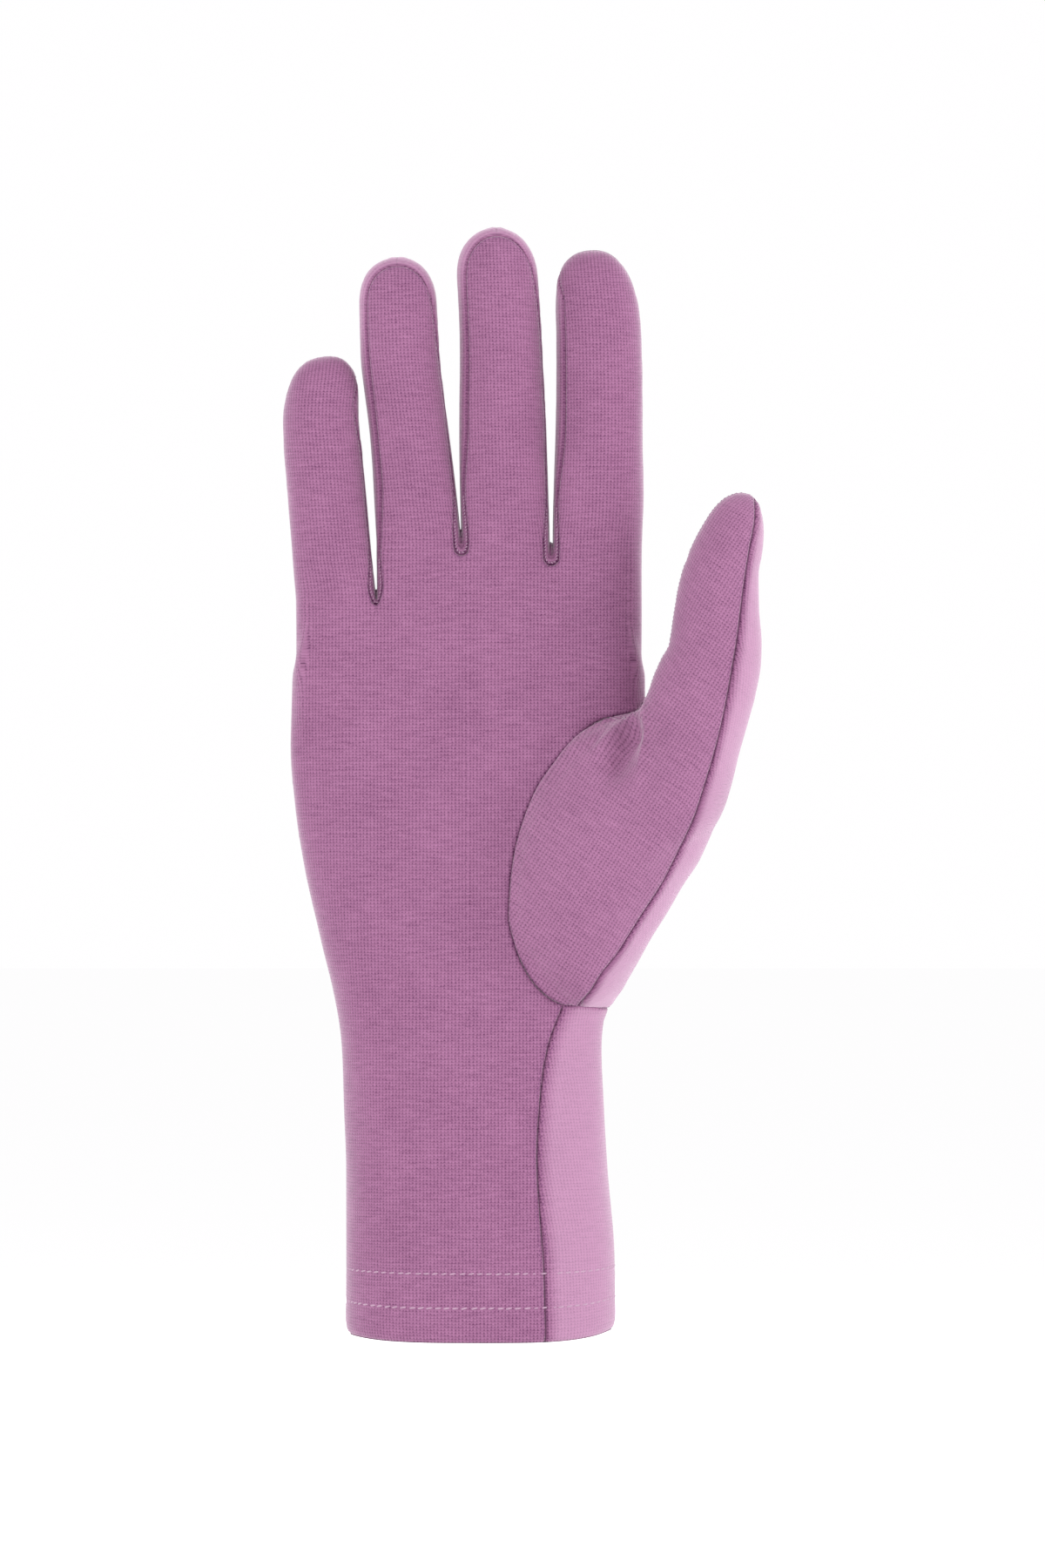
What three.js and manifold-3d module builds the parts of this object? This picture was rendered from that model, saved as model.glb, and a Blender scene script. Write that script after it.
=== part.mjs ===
// A knitted glove liner for a right hand, in millimetres, standing on its cuff with the fingers up (+Z).
// The palm faces -Y and the thumb is on the +X side. The origin is the middle of the cuff's mouth.
// The liner is a hollow shell of cloth, cut into the pieces that it is sewn from: a palm panel, a back
// panel, three fourchettes that make the side walls between the fingers, and a thumb piece whose
// lower end is the oval gusset set into the palm.

import * as THREE from "three";
import { mergeVertices } from "three/addons/utils/BufferGeometryUtils.js";
import Module from "manifold-3d";

const wasm = await Module();
wasm.setup();

// Cloth and seams
const CLOTH = 1.0; // thickness of the knitted cloth
const SEAM_GAP = 0.3; // clearance between two pieces along the seam that joins them
const HEM_HEIGHT = 17; // height of the hem, where the cloth is turned up inside and lies double
const HEM_RAMP = 0.6; // height over which the raw edge of the turned-up cloth ends

// Cuff: from the mouth to the wrist
const CUFF_LENGTH = 72;
const CUFF_WIDTH = 60.5;
const CUFF_DEPTH = 41;

// Palm: from the wrist to the fork between the little and the ring finger
const PALM_LENGTH = 95;
const PALM_WIDTH = 79.5;
const PALM_DEPTH = 26;
const PALM_CROWN = 18; // height of the rounded top of the palm, out of which the fingers rise
const SIDE_SEAM_SET_BACK = 2.5; // how far behind the middle plane the two side seams run

// Fingers: length from the root to the tip, greatest width, depth from the pad to the nail, height of
// the root above the palm's end, place of the root as a share of PALM_WIDTH, height of the round tip
// and how blunt it is, where 2 is an ellipse
const FINGERS = {
  little: { length: 53.9, width: 17.6, depth: 16.4, rise: 0, root: -0.409, dome: 15.7, blunt: 2.5 },
  ring: { length: 63.3, width: 18.0, depth: 16.8, rise: 12.3, root: -0.174, dome: 10.8, blunt: 2.3 },
  middle: { length: 71.5, width: 18.8, depth: 17.2, rise: 11, root: 0.0715, dome: 11.8, blunt: 2.2 },
  index: { length: 66.4, width: 19.2, depth: 17.2, rise: 11, root: 0.328, dome: 15.7, blunt: 2.4 },
};
const FINGER_CURL = 14; // how far the longest fingertip leans towards the palm side
const CURL_POWER = 1.8;
const ROOT_DEPTH = 24; // how far a finger reaches down inside the palm
const ROOT_TAPER = 0.7; // size of its lower end there, as a share of its size at the palm's end

// Forks: the height above the palm's end at which the gap between two fingers closes
const FORK_RISES = { little_ring: 0, ring_middle: 13.3, middle_index: 11 };
const FORKS = [
  { name: "fourchette_little_ring", from: "little", to: "ring", rise: FORK_RISES.little_ring },
  { name: "fourchette_ring_middle", from: "ring", to: "middle", rise: FORK_RISES.ring_middle },
  { name: "fourchette_middle_index", from: "middle", to: "index", rise: FORK_RISES.middle_index },
];
const FORK_SPAN = 20; // width of the cloth bridge under a fork
const FORK_DEPTH = 18.6; // its depth from the palm side to the back
const FORK_CROWN = 13; // how far its rounded top falls away to the palm side and to the back

// Fourchettes: the distance of their edges from the fingers' middle plane, how much further out the
// edges start at the fork, how far the edge on a finger's thumb side turns in above the fork, and the
// lengths along the finger over which that flare, that turn and the pointed end at a tip take place
const FOURCHETTE_SET = 5.2;
const FOURCHETTE_FLARE = 1.4;
const FOURCHETTE_TURN = 4;
const FLARE_LENGTH = 12;
const TURN_LENGTH = 30;
const POINT_LENGTH = 12;
const POINT_STOP = 4.5; // distance from the fingertip at which the pointed end stops
const POINT_WIDTH = 1.2; // width that is left at the end of the point

// Thumb: from the bottom of its gusset to its tip, the greatest distance of its outer side from the
// middle of the cuff, how far its tip stands in front of the hand's middle plane, and its round tip
const THUMB_LENGTH = 115.4;
const THUMB_SPREAD = 63.2;
const THUMB_FORWARD = 22;
const THUMB_DOME = 15;
const THUMB_BLUNT = 2;
const GUSSET_RISE = 2.3; // height of the gusset's bottom above the wrist

// Cuff sections: height as a share of CUFF_LENGTH, the two sides as shares of CUFF_WIDTH, and the
// distance of the front and the back from the middle plane as shares of CUFF_DEPTH
const CUFF_ROWS = [
  { up: 0, left: -0.499, right: 0.502, front: 0.5, back: 0.5 },
  { up: 0.28, left: -0.499, right: 0.496, front: 0.5, back: 0.5 },
  { up: 0.53, left: -0.499, right: 0.474, front: 0.49, back: 0.49 },
  { up: 0.74, left: -0.507, right: 0.461, front: 0.475, back: 0.475 },
  { up: 0.92, left: -0.519, right: 0.451, front: 0.46, back: 0.46 },
];

// Palm sections in the same way, as shares of PALM_LENGTH, PALM_WIDTH and PALM_DEPTH
const PALM_ROWS = [
  { up: 0.063, left: -0.416, right: 0.36, front: 0.69, back: 0.69 },
  { up: 0.19, left: -0.45, right: 0.39, front: 0.635, back: 0.62 },
  { up: 0.347, left: -0.493, right: 0.425, front: 0.577, back: 0.56 },
  { up: 0.505, left: -0.522, right: 0.448, front: 0.538, back: 0.52 },
  { up: 0.663, left: -0.537, right: 0.463, front: 0.51, back: 0.495 },
  { up: 0.8, left: -0.533, right: 0.464, front: 0.485, back: 0.47 },
  { up: 0.91, left: -0.518, right: 0.45, front: 0.446, back: 0.43 },
];
const BODY_SQUARENESS = 2.4; // 2 is an ellipse, more is squarer

// Finger sections: height as a share of the length, sideways shift and width as shares of the width
const FINGER_ROWS = {
  little: [
    { up: 0, shift: 0, width: 1.02 },
    { up: 0.3, shift: -0.089, width: 1.0 },
    { up: 0.59, shift: -0.161, width: 1.0 },
    { up: 0.74, shift: -0.194, width: 0.967 },
    { up: 1, shift: -0.128, width: 0.96 },
  ],
  ring: [
    { up: 0, shift: 0, width: 1.054 },
    { up: 0.19, shift: -0.06, width: 1.022 },
    { up: 0.43, shift: -0.147, width: 0.978 },
    { up: 0.68, shift: -0.239, width: 0.962 },
    { up: 1, shift: -0.272, width: 0.957 },
  ],
  middle: [
    { up: 0, shift: 0, width: 1.0625 },
    { up: 0.18, shift: -0.021, width: 1.042 },
    { up: 0.4, shift: -0.042, width: 1.021 },
    { up: 0.62, shift: -0.0625, width: 0.979 },
    { up: 1, shift: -0.115, width: 0.969 },
  ],
  index: [
    { up: 0, shift: 0, width: 1.041 },
    { up: 0.2, shift: 0.02, width: 1.041 },
    { up: 0.43, shift: 0.031, width: 1.02 },
    { up: 0.7, shift: 0.018, width: 0.98 },
    { up: 1, shift: -0.061, width: 0.959 },
  ],
};

// Gusset sections, from the bottom of the gusset to the fork between thumb and hand: height as a share
// of THUMB_LENGTH, sides as shares of THUMB_SPREAD, middle plane and depths as shares of THUMB_FORWARD
const GUSSET_ROWS = [
  { up: 0.005, left: 0.245, right: 0.475, middle: 0, front: 0.8, back: 0.3 },
  { up: 0.051, left: 0.182, right: 0.516, middle: 0.14, front: 0.8, back: 0.55 },
  { up: 0.098, left: 0.127, right: 0.565, middle: 0.27, front: 0.78, back: 0.72 },
  { up: 0.14, left: 0.08, right: 0.608, middle: 0.36, front: 0.76, back: 0.8 },
  { up: 0.229, left: 0.09, right: 0.704, middle: 0.41, front: 0.82, back: 0.82 },
  { up: 0.302, left: 0.115, right: 0.785, middle: 0.46, front: 0.82, back: 0.82 },
  { up: 0.37, left: 0.15, right: 0.835, middle: 0.49, front: 0.75, back: 0.78 },
  { up: 0.438, left: 0.204, right: 0.84, middle: 0.5, front: 0.62, back: 0.7 },
  { up: 0.477, left: 0.252, right: 0.82, middle: 0.5, front: 0.52, back: 0.62 },
  { up: 0.518, left: 0.31, right: 0.79, middle: 0.5, front: 0.41, back: 0.52 },
  { up: 0.545, left: 0.39, right: 0.74, middle: 0.48, front: 0.28, back: 0.4 },
  { up: 0.563, left: 0.47, right: 0.7, middle: 0.44, front: 0.14, back: 0.28 },
];

// Thumb sections in the same way, from deep inside the gusset to the tip
const THUMB_ROWS = [
  { up: 0.229, left: 0.42, right: 0.62, middle: 0.45, front: 0.5, back: 0.5 },
  { up: 0.302, left: 0.44, right: 0.74, middle: 0.52, front: 0.62, back: 0.66 },
  { up: 0.37, left: 0.485, right: 0.846, middle: 0.57, front: 0.68, back: 0.78 },
  { up: 0.439, left: 0.522, right: 0.888, middle: 0.6, front: 0.68, back: 0.8 },
  { up: 0.507, left: 0.549, right: 0.918, middle: 0.64, front: 0.65, back: 0.74 },
  { up: 0.575, left: 0.566, right: 0.953, middle: 0.69, front: 0.6, back: 0.62 },
  { up: 0.608, left: 0.589, right: 0.971, middle: 0.72, front: 0.57, back: 0.57 },
  { up: 0.676, left: 0.637, right: 0.993, middle: 0.77, front: 0.53, back: 0.52 },
  { up: 0.71, left: 0.669, right: 0.995, middle: 0.8, front: 0.5, back: 0.5 },
  { up: 0.778, left: 0.688, right: 0.986, middle: 0.86, front: 0.465, back: 0.46 },
  { up: 0.846, left: 0.713, right: 0.983, middle: 0.91, front: 0.44, back: 0.43 },
  { up: 0.88, left: 0.735, right: 0.993, middle: 0.94, front: 0.425, back: 0.415 },
  { up: 0.95, left: 0.775, right: 1.022, middle: 0.98, front: 0.4, back: 0.4 },
  { up: 1.0, left: 0.794, right: 1.047, middle: 1.0, front: 0.39, back: 0.39 },
];

// The gusset's seam on the palm side, as shares of THUMB_SPREAD and THUMB_LENGTH, from the bottom of
// the oval round its inner side to the fork between thumb and hand
const GUSSET_SEAM = [
  { x: 0.46, up: 0.002 },
  { x: 0.348, up: 0.005 },
  { x: 0.294, up: 0.009 },
  { x: 0.23, up: 0.029 },
  { x: 0.16, up: 0.076 },
  { x: 0.112, up: 0.14 },
  { x: 0.097, up: 0.182 },
  { x: 0.1, up: 0.229 },
  { x: 0.112, up: 0.294 },
  { x: 0.133, up: 0.343 },
  { x: 0.165, up: 0.393 },
  { x: 0.204, up: 0.438 },
  { x: 0.252, up: 0.477 },
  { x: 0.31, up: 0.518 },
  { x: 0.375, up: 0.547 },
  { x: 0.456, up: 0.569 },
  { x: 0.562, up: 0.583 },
];

// The same seam on the back of the hand, close to the hand's side
const GUSSET_SEAM_BACK = [
  { x: 0.43, up: 0.002 },
  { x: 0.43, up: 0.05 },
  { x: 0.45, up: 0.18 },
  { x: 0.485, up: 0.35 },
  { x: 0.53, up: 0.49 },
  { x: 0.562, up: 0.583 },
];

// The line between thumb and hand above the fork
const THUMB_SIDE_LINE = [
  { x: 0.583, up: 0.608 },
  { x: 0.594, up: 0.632 },
  { x: 0.617, up: 0.665 },
  { x: 0.642, up: 0.71 },
  { x: 0.672, up: 0.83 },
  { x: 0.672, up: 1.2 },
];

// The cuff's sewn seam on the palm side, as shares of CUFF_WIDTH and CUFF_LENGTH
const CUFF_SEAM = [
  { x: 0.246, up: -0.1 },
  { x: 0.236, up: 0.22 },
  { x: 0.218, up: 0.42 },
  { x: 0.21, up: 0.57 },
  { x: 0.226, up: 0.79 },
  { x: 0.255, up: 0.93 },
];

// How finely the round shapes are divided
const BODY_SIDES = 32;
const FINGER_SIDES = 14;
const THUMB_SIDES = 20;
const FORK_SIDES = 10;
const DOME_SHARES = [0.45, 0.75, 0.93, 0.995];
const SEAM_STEP = 8; // height between the rows of a seam surface
const GAP_SHARE = 0.1; // place of a seam surface's columns on each side of the middle of a gap
const OPEN_GAP = 1.5; // width taken for a gap above the tip of one of its fingers
const INTO_GUSSET = 0.04; // how far the cuff's flap reaches up into the gusset, a share of THUMB_LENGTH
const SINGLE_SIDE = 2.5; // how far past a finger's middle the seam surfaces reach the side seam's line

const WRIST = CUFF_LENGTH;
const PALM_TOP = WRIST + PALM_LENGTH;
const CURL_START = WRIST + 0.8 * PALM_LENGTH;
const GUSSET_BOTTOM = WRIST + GUSSET_RISE;
const FAR = 200; // beyond every surface of the liner, for the outer faces of cutting solids
const FRONT = new THREE.Vector2(-FAR, 0); // from y = -FAR to the middle plane
const BEHIND = new THREE.Vector2(0, FAR);

// Small helpers for numbers

const mix = (a, b, t) => a + (b - a) * t;

function smoothStep(t) {
  const s = Math.min(1, Math.max(0, t));
  return s * s * (3 - 2 * s);
}

// The value of a column of a table at a height, straight between its rows
function columnAt(rows, column, up) {
  if (up <= rows[0].up) return rows[0][column];
  for (let i = 1; i < rows.length; i++) {
    if (up <= rows[i].up) {
      const t = (up - rows[i - 1].up) / (rows[i].up - rows[i - 1].up);
      return mix(rows[i - 1][column], rows[i][column], t);
    }
  }
  return rows[rows.length - 1][column];
}

// Solids and meshes

function toManifold(geometry) {
  const bare = geometry.clone();
  bare.deleteAttribute("normal");
  bare.deleteAttribute("uv");
  const merged = mergeVertices(bare, 1e-4);
  const mesh = new wasm.Mesh({
    numProp: 3,
    vertProperties: Float32Array.from(merged.attributes.position.array),
    triVerts: Uint32Array.from(merged.index.array),
  });
  return new wasm.Manifold(mesh);
}

function toGeometry(solid) {
  const mesh = solid.getMesh();
  const geometry = new THREE.BufferGeometry();
  const positions = Float32Array.from(mesh.vertProperties);
  geometry.setAttribute("position", new THREE.BufferAttribute(positions, 3));
  geometry.setIndex(new THREE.BufferAttribute(Uint32Array.from(mesh.triVerts), 1));
  const faceted = geometry.toNonIndexed();
  faceted.computeVertexNormals();
  return faceted;
}

function meshGeometry(points, faces) {
  const geometry = new THREE.BufferGeometry();
  const positions = points.flatMap((p) => [p.x, p.y, p.z]);
  geometry.setAttribute("position", new THREE.Float32BufferAttribute(positions, 3));
  geometry.setIndex(faces);
  return geometry;
}

const unite = (solids) => solids.reduce((whole, solid) => whole.add(solid));

// A solid through rings that all have the same number of points, closed at both ends
function loft(rings) {
  const count = rings[0].length;
  const centreOf = (ring) => {
    const sum = ring.reduce((total, p) => total.add(p), new THREE.Vector3());
    return sum.divideScalar(count);
  };
  const points = [...rings.flat(), centreOf(rings[0]), centreOf(rings[rings.length - 1])];
  const bottom = rings.length * count;
  const top = bottom + 1;
  const faces = [];
  for (let i = 0; i < count; i++) {
    const next = (i + 1) % count;
    const last = (rings.length - 1) * count;
    faces.push(bottom, next, i);
    faces.push(top, last + i, last + next);
    for (let r = 0; r < rings.length - 1; r++) {
      const low = r * count;
      const high = low + count;
      faces.push(low + i, low + next, high + next);
      faces.push(low + i, high + next, high + i);
    }
  }
  return toManifold(meshGeometry(points, faces));
}

// One horizontal section: a rounded outline whose front and back halves have their own depths
function sectionRing(section, sides, squareness) {
  const power = 2 / squareness;
  const ring = [];
  for (let i = 0; i < sides; i++) {
    const angle = (2 * Math.PI * i) / sides;
    const c = Math.cos(angle);
    const s = Math.sin(angle);
    const depth = s < 0 ? section.front : section.back;
    const x = section.x + section.half * Math.sign(c) * Math.abs(c) ** power;
    const y = section.y + depth * Math.sign(s) * Math.abs(s) ** power;
    ring.push(new THREE.Vector3(x, y, section.z));
  }
  return ring;
}

// The sections that close a form with a rounded top. sectionAt gives the form without the rounding.
function domeSections(sectionAt, top, height, blunt) {
  return DOME_SHARES.map((share) => {
    const section = sectionAt(top - height * (1 - share));
    const shrink = (1 - share ** blunt) ** (1 / blunt);
    return {
      ...section,
      half: section.half * shrink,
      front: section.front * shrink,
      back: section.back * shrink,
    };
  });
}

// Sections at the given heights below a rounded top, and the rounded top
function domedSections(heights, sectionAt, top, height, blunt) {
  const domeStart = top - height * (1 - DOME_SHARES[0] / 2);
  const lower = heights.filter((z) => z < domeStart).map(sectionAt);
  return [...lower, ...domeSections(sectionAt, top, height, blunt)];
}

// The forms of the hand. Each takes an inset: 0 for the outside of the cloth, CLOTH for its inside.

// How far the middle plane of the fingers leans towards the palm side at a height
const fingerTip = (finger) => PALM_TOP + finger.rise + finger.length;
const LONGEST_TIP = Math.max(...Object.values(FINGERS).map(fingerTip));

function curlAt(z) {
  const t = Math.max(0, (z - CURL_START) / (LONGEST_TIP - CURL_START));
  return -FINGER_CURL * t ** CURL_POWER;
}

function bodySection(z, inset) {
  const cuffEnd = CUFF_LENGTH * CUFF_ROWS[CUFF_ROWS.length - 1].up;
  const palmStart = WRIST + PALM_LENGTH * PALM_ROWS[0].up;
  const t = Math.min(1, Math.max(0, (z - cuffEnd) / (palmStart - cuffEnd)));
  const between = (column, cuffSize, palmSize) => {
    const onCuff = columnAt(CUFF_ROWS, column, z / CUFF_LENGTH) * cuffSize;
    const onPalm = columnAt(PALM_ROWS, column, (z - WRIST) / PALM_LENGTH) * palmSize;
    return mix(onCuff, onPalm, t);
  };
  const left = between("left", CUFF_WIDTH, PALM_WIDTH);
  const right = between("right", CUFF_WIDTH, PALM_WIDTH);
  return {
    z,
    x: (left + right) / 2,
    y: curlAt(z),
    half: (right - left) / 2 - inset,
    front: between("front", CUFF_DEPTH, PALM_DEPTH) - inset,
    back: between("back", CUFF_DEPTH, PALM_DEPTH) - inset,
  };
}

const bodyHeights = () => [
  ...CUFF_ROWS.slice(1).map((row) => row.up * CUFF_LENGTH),
  ...PALM_ROWS.map((row) => WRIST + row.up * PALM_LENGTH),
];

function bodySolid(mouth, inset) {
  const sectionAt = (z) => bodySection(z, inset);
  const top = PALM_TOP - inset;
  const sections = domedSections(bodyHeights(), sectionAt, top, PALM_CROWN - inset, 2);
  return loft([...mouth, ...sections].map((s) => sectionRing(s, BODY_SIDES, BODY_SQUARENESS)));
}

const bodyOutside = () => bodySolid([bodySection(0, 0)], 0);

// The inside steps in at the hem, where the cloth is double
function bodyInside() {
  const doubled = 2 * CLOTH;
  const mouth = [
    { ...bodySection(0, doubled), z: -CLOTH },
    bodySection(HEM_HEIGHT, doubled),
    bodySection(HEM_HEIGHT + HEM_RAMP, CLOTH),
  ];
  return bodySolid(mouth, CLOTH);
}

function fingerSection(name, z, inset) {
  const finger = FINGERS[name];
  const rows = FINGER_ROWS[name];
  const up = (z - PALM_TOP - finger.rise) / finger.length;
  const shift = columnAt(rows, "shift", up) * finger.width;
  return {
    z,
    x: finger.root * PALM_WIDTH + shift,
    y: curlAt(z),
    half: (columnAt(rows, "width", up) * finger.width) / 2 - inset,
    front: finger.depth / 2 - inset,
    back: finger.depth / 2 - inset,
  };
}

function fingerSolid(name, inset) {
  const finger = FINGERS[name];
  const root = PALM_TOP + finger.rise;
  const sectionAt = (z) => fingerSection(name, z, inset);
  const lowest = sectionAt(PALM_TOP - ROOT_DEPTH + inset);
  for (const size of ["half", "front", "back"]) lowest[size] *= ROOT_TAPER;
  const full = PALM_TOP - ROOT_DEPTH / 2;
  const heights = [full, ...FINGER_ROWS[name].map((row) => root + row.up * finger.length)];
  const tip = fingerTip(finger) - inset;
  const sections = domedSections(heights, sectionAt, tip, finger.dome - inset, finger.blunt);
  return loft([lowest, ...sections].map((s) => sectionRing(s, FINGER_SIDES, 2)));
}

// The cloth bridge under the fork between two fingers, rounded from the palm side to the back
function forkSolid(fork, inset) {
  const top = PALM_TOP + fork.rise - inset;
  const bottom = PALM_TOP - ROOT_DEPTH + inset;
  const from = fingerSection(fork.from, top, 0);
  const to = fingerSection(fork.to, top, 0);
  const section = (z, shrink) => ({
    z,
    x: (from.x + from.half + to.x - to.half) / 2,
    y: curlAt(z),
    half: FORK_SPAN / 2,
    front: (FORK_DEPTH / 2 - inset) * shrink,
    back: (FORK_DEPTH / 2 - inset) * shrink,
  });
  const sections = [section(bottom, 1), section(top - FORK_CROWN, 1)];
  for (const share of DOME_SHARES) {
    sections.push(section(top - FORK_CROWN * (1 - share), Math.sqrt(1 - share * share)));
  }
  return loft(sections.map((s) => sectionRing(s, FORK_SIDES, 2)));
}

function thumbSection(rows, z, inset) {
  const at = (column) => columnAt(rows, column, (z - GUSSET_BOTTOM) / THUMB_LENGTH);
  const left = at("left") * THUMB_SPREAD;
  const right = at("right") * THUMB_SPREAD;
  return {
    z,
    x: (left + right) / 2,
    y: -at("middle") * THUMB_FORWARD,
    half: (right - left) / 2 - inset,
    front: Math.max(0.1, at("front") * THUMB_FORWARD - inset),
    back: Math.max(0.1, at("back") * THUMB_FORWARD - inset),
  };
}

const thumbHeight = (up) => GUSSET_BOTTOM + up * THUMB_LENGTH;

function gussetSolid(inset) {
  const sections = GUSSET_ROWS.map((row) => thumbSection(GUSSET_ROWS, thumbHeight(row.up), inset));
  return loft(sections.map((s) => sectionRing(s, THUMB_SIDES, 2)));
}

function thumbSolid(inset) {
  const sectionAt = (z) => thumbSection(THUMB_ROWS, z, inset);
  const heights = THUMB_ROWS.map((row) => thumbHeight(row.up));
  const top = thumbHeight(1) - inset;
  const sections = domedSections(heights, sectionAt, top, THUMB_DOME - inset, THUMB_BLUNT);
  return loft(sections.map((s) => sectionRing(s, THUMB_SIDES, 2)));
}

function clothShell() {
  const forms = (inset) => [
    ...Object.keys(FINGERS).map((name) => fingerSolid(name, inset)),
    ...FORKS.map((fork) => forkSolid(fork, inset)),
    gussetSolid(inset),
    thumbSolid(inset),
  ];
  const outside = unite([bodyOutside(), ...forms(0)]);
  const inside = unite([bodyInside(), ...forms(CLOTH)]);
  return outside.subtract(inside);
}

// Seams, as solids that cut the shell into its pieces

// Moves a line of points sideways, to the left of its direction
function offsetLine(line, distance) {
  return line.map((point, i) => {
    const before = line[Math.max(0, i - 1)];
    const after = line[Math.min(line.length - 1, i + 1)];
    const along = new THREE.Vector2().subVectors(after, before).normalize();
    return new THREE.Vector2(point.x - along.y * distance, point.y + along.x * distance);
  });
}

// A solid with the outline given in x and z, from one depth to another
function prism(outline, depths) {
  const shape = new THREE.Shape(outline);
  const geometry = new THREE.ExtrudeGeometry(shape, { depth: depths.y - depths.x, bevelEnabled: false });
  geometry.rotateX(Math.PI / 2);
  geometry.translate(0, depths.y, 0);
  return toManifold(geometry);
}

// Everything on the thumb's side of the gusset's seam, widened by a clearance
function thumbSideSolid(clearance) {
  const half = (seam, depths) => {
    const shares = [...seam, ...THUMB_SIDE_LINE];
    const line = shares.map((s) => new THREE.Vector2(s.x * THUMB_SPREAD, thumbHeight(s.up)));
    const start = new THREE.Vector2(FAR, line[0].y);
    const end = line[line.length - 1];
    const edge = offsetLine([start, ...line], clearance);
    return prism([...edge, new THREE.Vector2(FAR, end.y)], depths);
  };
  return half(GUSSET_SEAM, FRONT).add(half(GUSSET_SEAM_BACK, BEHIND));
}

// The part of the cuff that the back panel wraps, from the side round to the cuff's seam, which runs
// up into the bottom of the gusset
function cuffFlapSolid(clearance) {
  const line = CUFF_SEAM.map((s) => new THREE.Vector2(s.x * CUFF_WIDTH, s.up * CUFF_LENGTH));
  const bottom = GUSSET_SEAM[2];
  const joint = new THREE.Vector2(bottom.x * THUMB_SPREAD, thumbHeight(bottom.up + INTO_GUSSET));
  const edge = offsetLine([...line, joint], clearance);
  const outline = [...edge, new THREE.Vector2(FAR, joint.y), new THREE.Vector2(FAR, line[0].y)];
  return prism(outline, new THREE.Vector2(-FAR, SIDE_SEAM_SET_BACK + CLOTH));
}

// A solid between two surfaces over the x-z plane. Each column is a function that gives, at a height,
// its x and the y of the near and the far surface.
function slab(columns, heights) {
  const points = [];
  for (const face of ["near", "far"]) {
    for (const column of columns) {
      for (const z of heights) {
        const at = column(z);
        points.push(new THREE.Vector3(at.x, at[face], z));
      }
    }
  }
  const faces = [];
  const quad = (a, b, c, d) => faces.push(a, b, c, a, c, d);
  const rows = heights.length;
  const behind = columns.length * rows;
  const right = behind - rows;
  const top = rows - 1;
  for (let i = 0; i < columns.length - 1; i++) {
    const low = i * rows;
    const next = low + rows;
    for (let k = 0; k < top; k++) {
      quad(low + k, next + k, next + k + 1, low + k + 1);
      quad(behind + low + k, behind + low + k + 1, behind + next + k + 1, behind + next + k);
    }
    quad(low, behind + low, behind + next, next);
    quad(low + top, next + top, behind + next + top, behind + low + top);
  }
  for (let k = 0; k < top; k++) {
    quad(k, k + 1, behind + k + 1, behind + k);
    quad(right + k, behind + right + k, behind + right + k + 1, right + k + 1);
  }
  return toManifold(meshGeometry(points, faces));
}

const sideSeamAt = (z) => curlAt(z) + SIDE_SEAM_SET_BACK;

// The little and the index finger have a fourchette on one side only
const isSingle = (name) => FORKS.filter((fork) => fork.from === name || fork.to === name).length === 1;

// The two edges of a fourchette on one of its fingers at a height. On a finger with only one
// fourchette it ends in a point near the tip, on the line of the side seam.
function fourchetteEdges(fork, name, z) {
  const aboveFork = z - PALM_TOP - fork.rise;
  const pointEnd = fingerTip(FINGERS[name]) - POINT_STOP;
  const pointed = isSingle(name) ? smoothStep((z - pointEnd + POINT_LENGTH) / POINT_LENGTH) : 0;
  const flare = FOURCHETTE_FLARE * (1 - smoothStep(aboveFork / FLARE_LENGTH));
  const belowTip = fingerTip(FINGERS[name]) - z;
  const turned = smoothStep(aboveFork / TURN_LENGTH) * smoothStep(belowTip / TURN_LENGTH);
  const turn = name === fork.from ? FOURCHETTE_TURN * turned : 0;
  const half = FOURCHETTE_SET + flare;
  const blunt = POINT_WIDTH / 2 + SEAM_GAP / 2;
  return {
    palm: curlAt(z) + mix(turn - half, SIDE_SEAM_SET_BACK - blunt, pointed),
    back: curlAt(z) + mix(half, SIDE_SEAM_SET_BACK + blunt, pointed),
  };
}

// A finger's half of a fourchette reaches from under the fork to the finger's tip, or to the point's end
function fourchetteReach(fork, name) {
  const tip = fingerTip(FINGERS[name]);
  const high = isSingle(name) ? tip - POINT_STOP : tip + FORK_CROWN;
  return { low: PALM_TOP + fork.rise - FORK_CROWN, high };
}

// The heights of the rows of all seam surfaces, so that two surfaces that meet bend at the same places
function seamHeights() {
  const count = Math.round((LONGEST_TIP - CURL_START) / SEAM_STEP);
  const steps = Array.from({ length: count + 1 }, (_, k) => mix(CURL_START, LONGEST_TIP, k / count));
  const reaches = FORKS.flatMap((fork) => [fork.from, fork.to].map((name) => fourchetteReach(fork, name)));
  const ends = reaches.flatMap((reach) => [reach.low, reach.high]);
  return [...new Set([...steps, ...ends])].sort((a, b) => a - b);
}

// Where a seam surface has a column in the open gap between a fourchette's two fingers, a share of the
// gap's width from its middle. Above a fingertip the column stays close to the finger that goes on.
const gapColumnX = (fork, share) => (z) => {
  const from = fingerSection(fork.from, z, 0);
  const to = fingerSection(fork.to, z, 0);
  let near = from.x + from.half;
  let far = to.x - to.half;
  if (z > fingerTip(FINGERS[fork.from])) near = far - OPEN_GAP;
  if (z > fingerTip(FINGERS[fork.to])) far = near + OPEN_GAP;
  return (near + far) / 2 + share * Math.max(far - near, SEAM_GAP);
};

const middleColumnX = (name, aside) => (z) => fingerSection(name, z, 0).x + aside;

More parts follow.
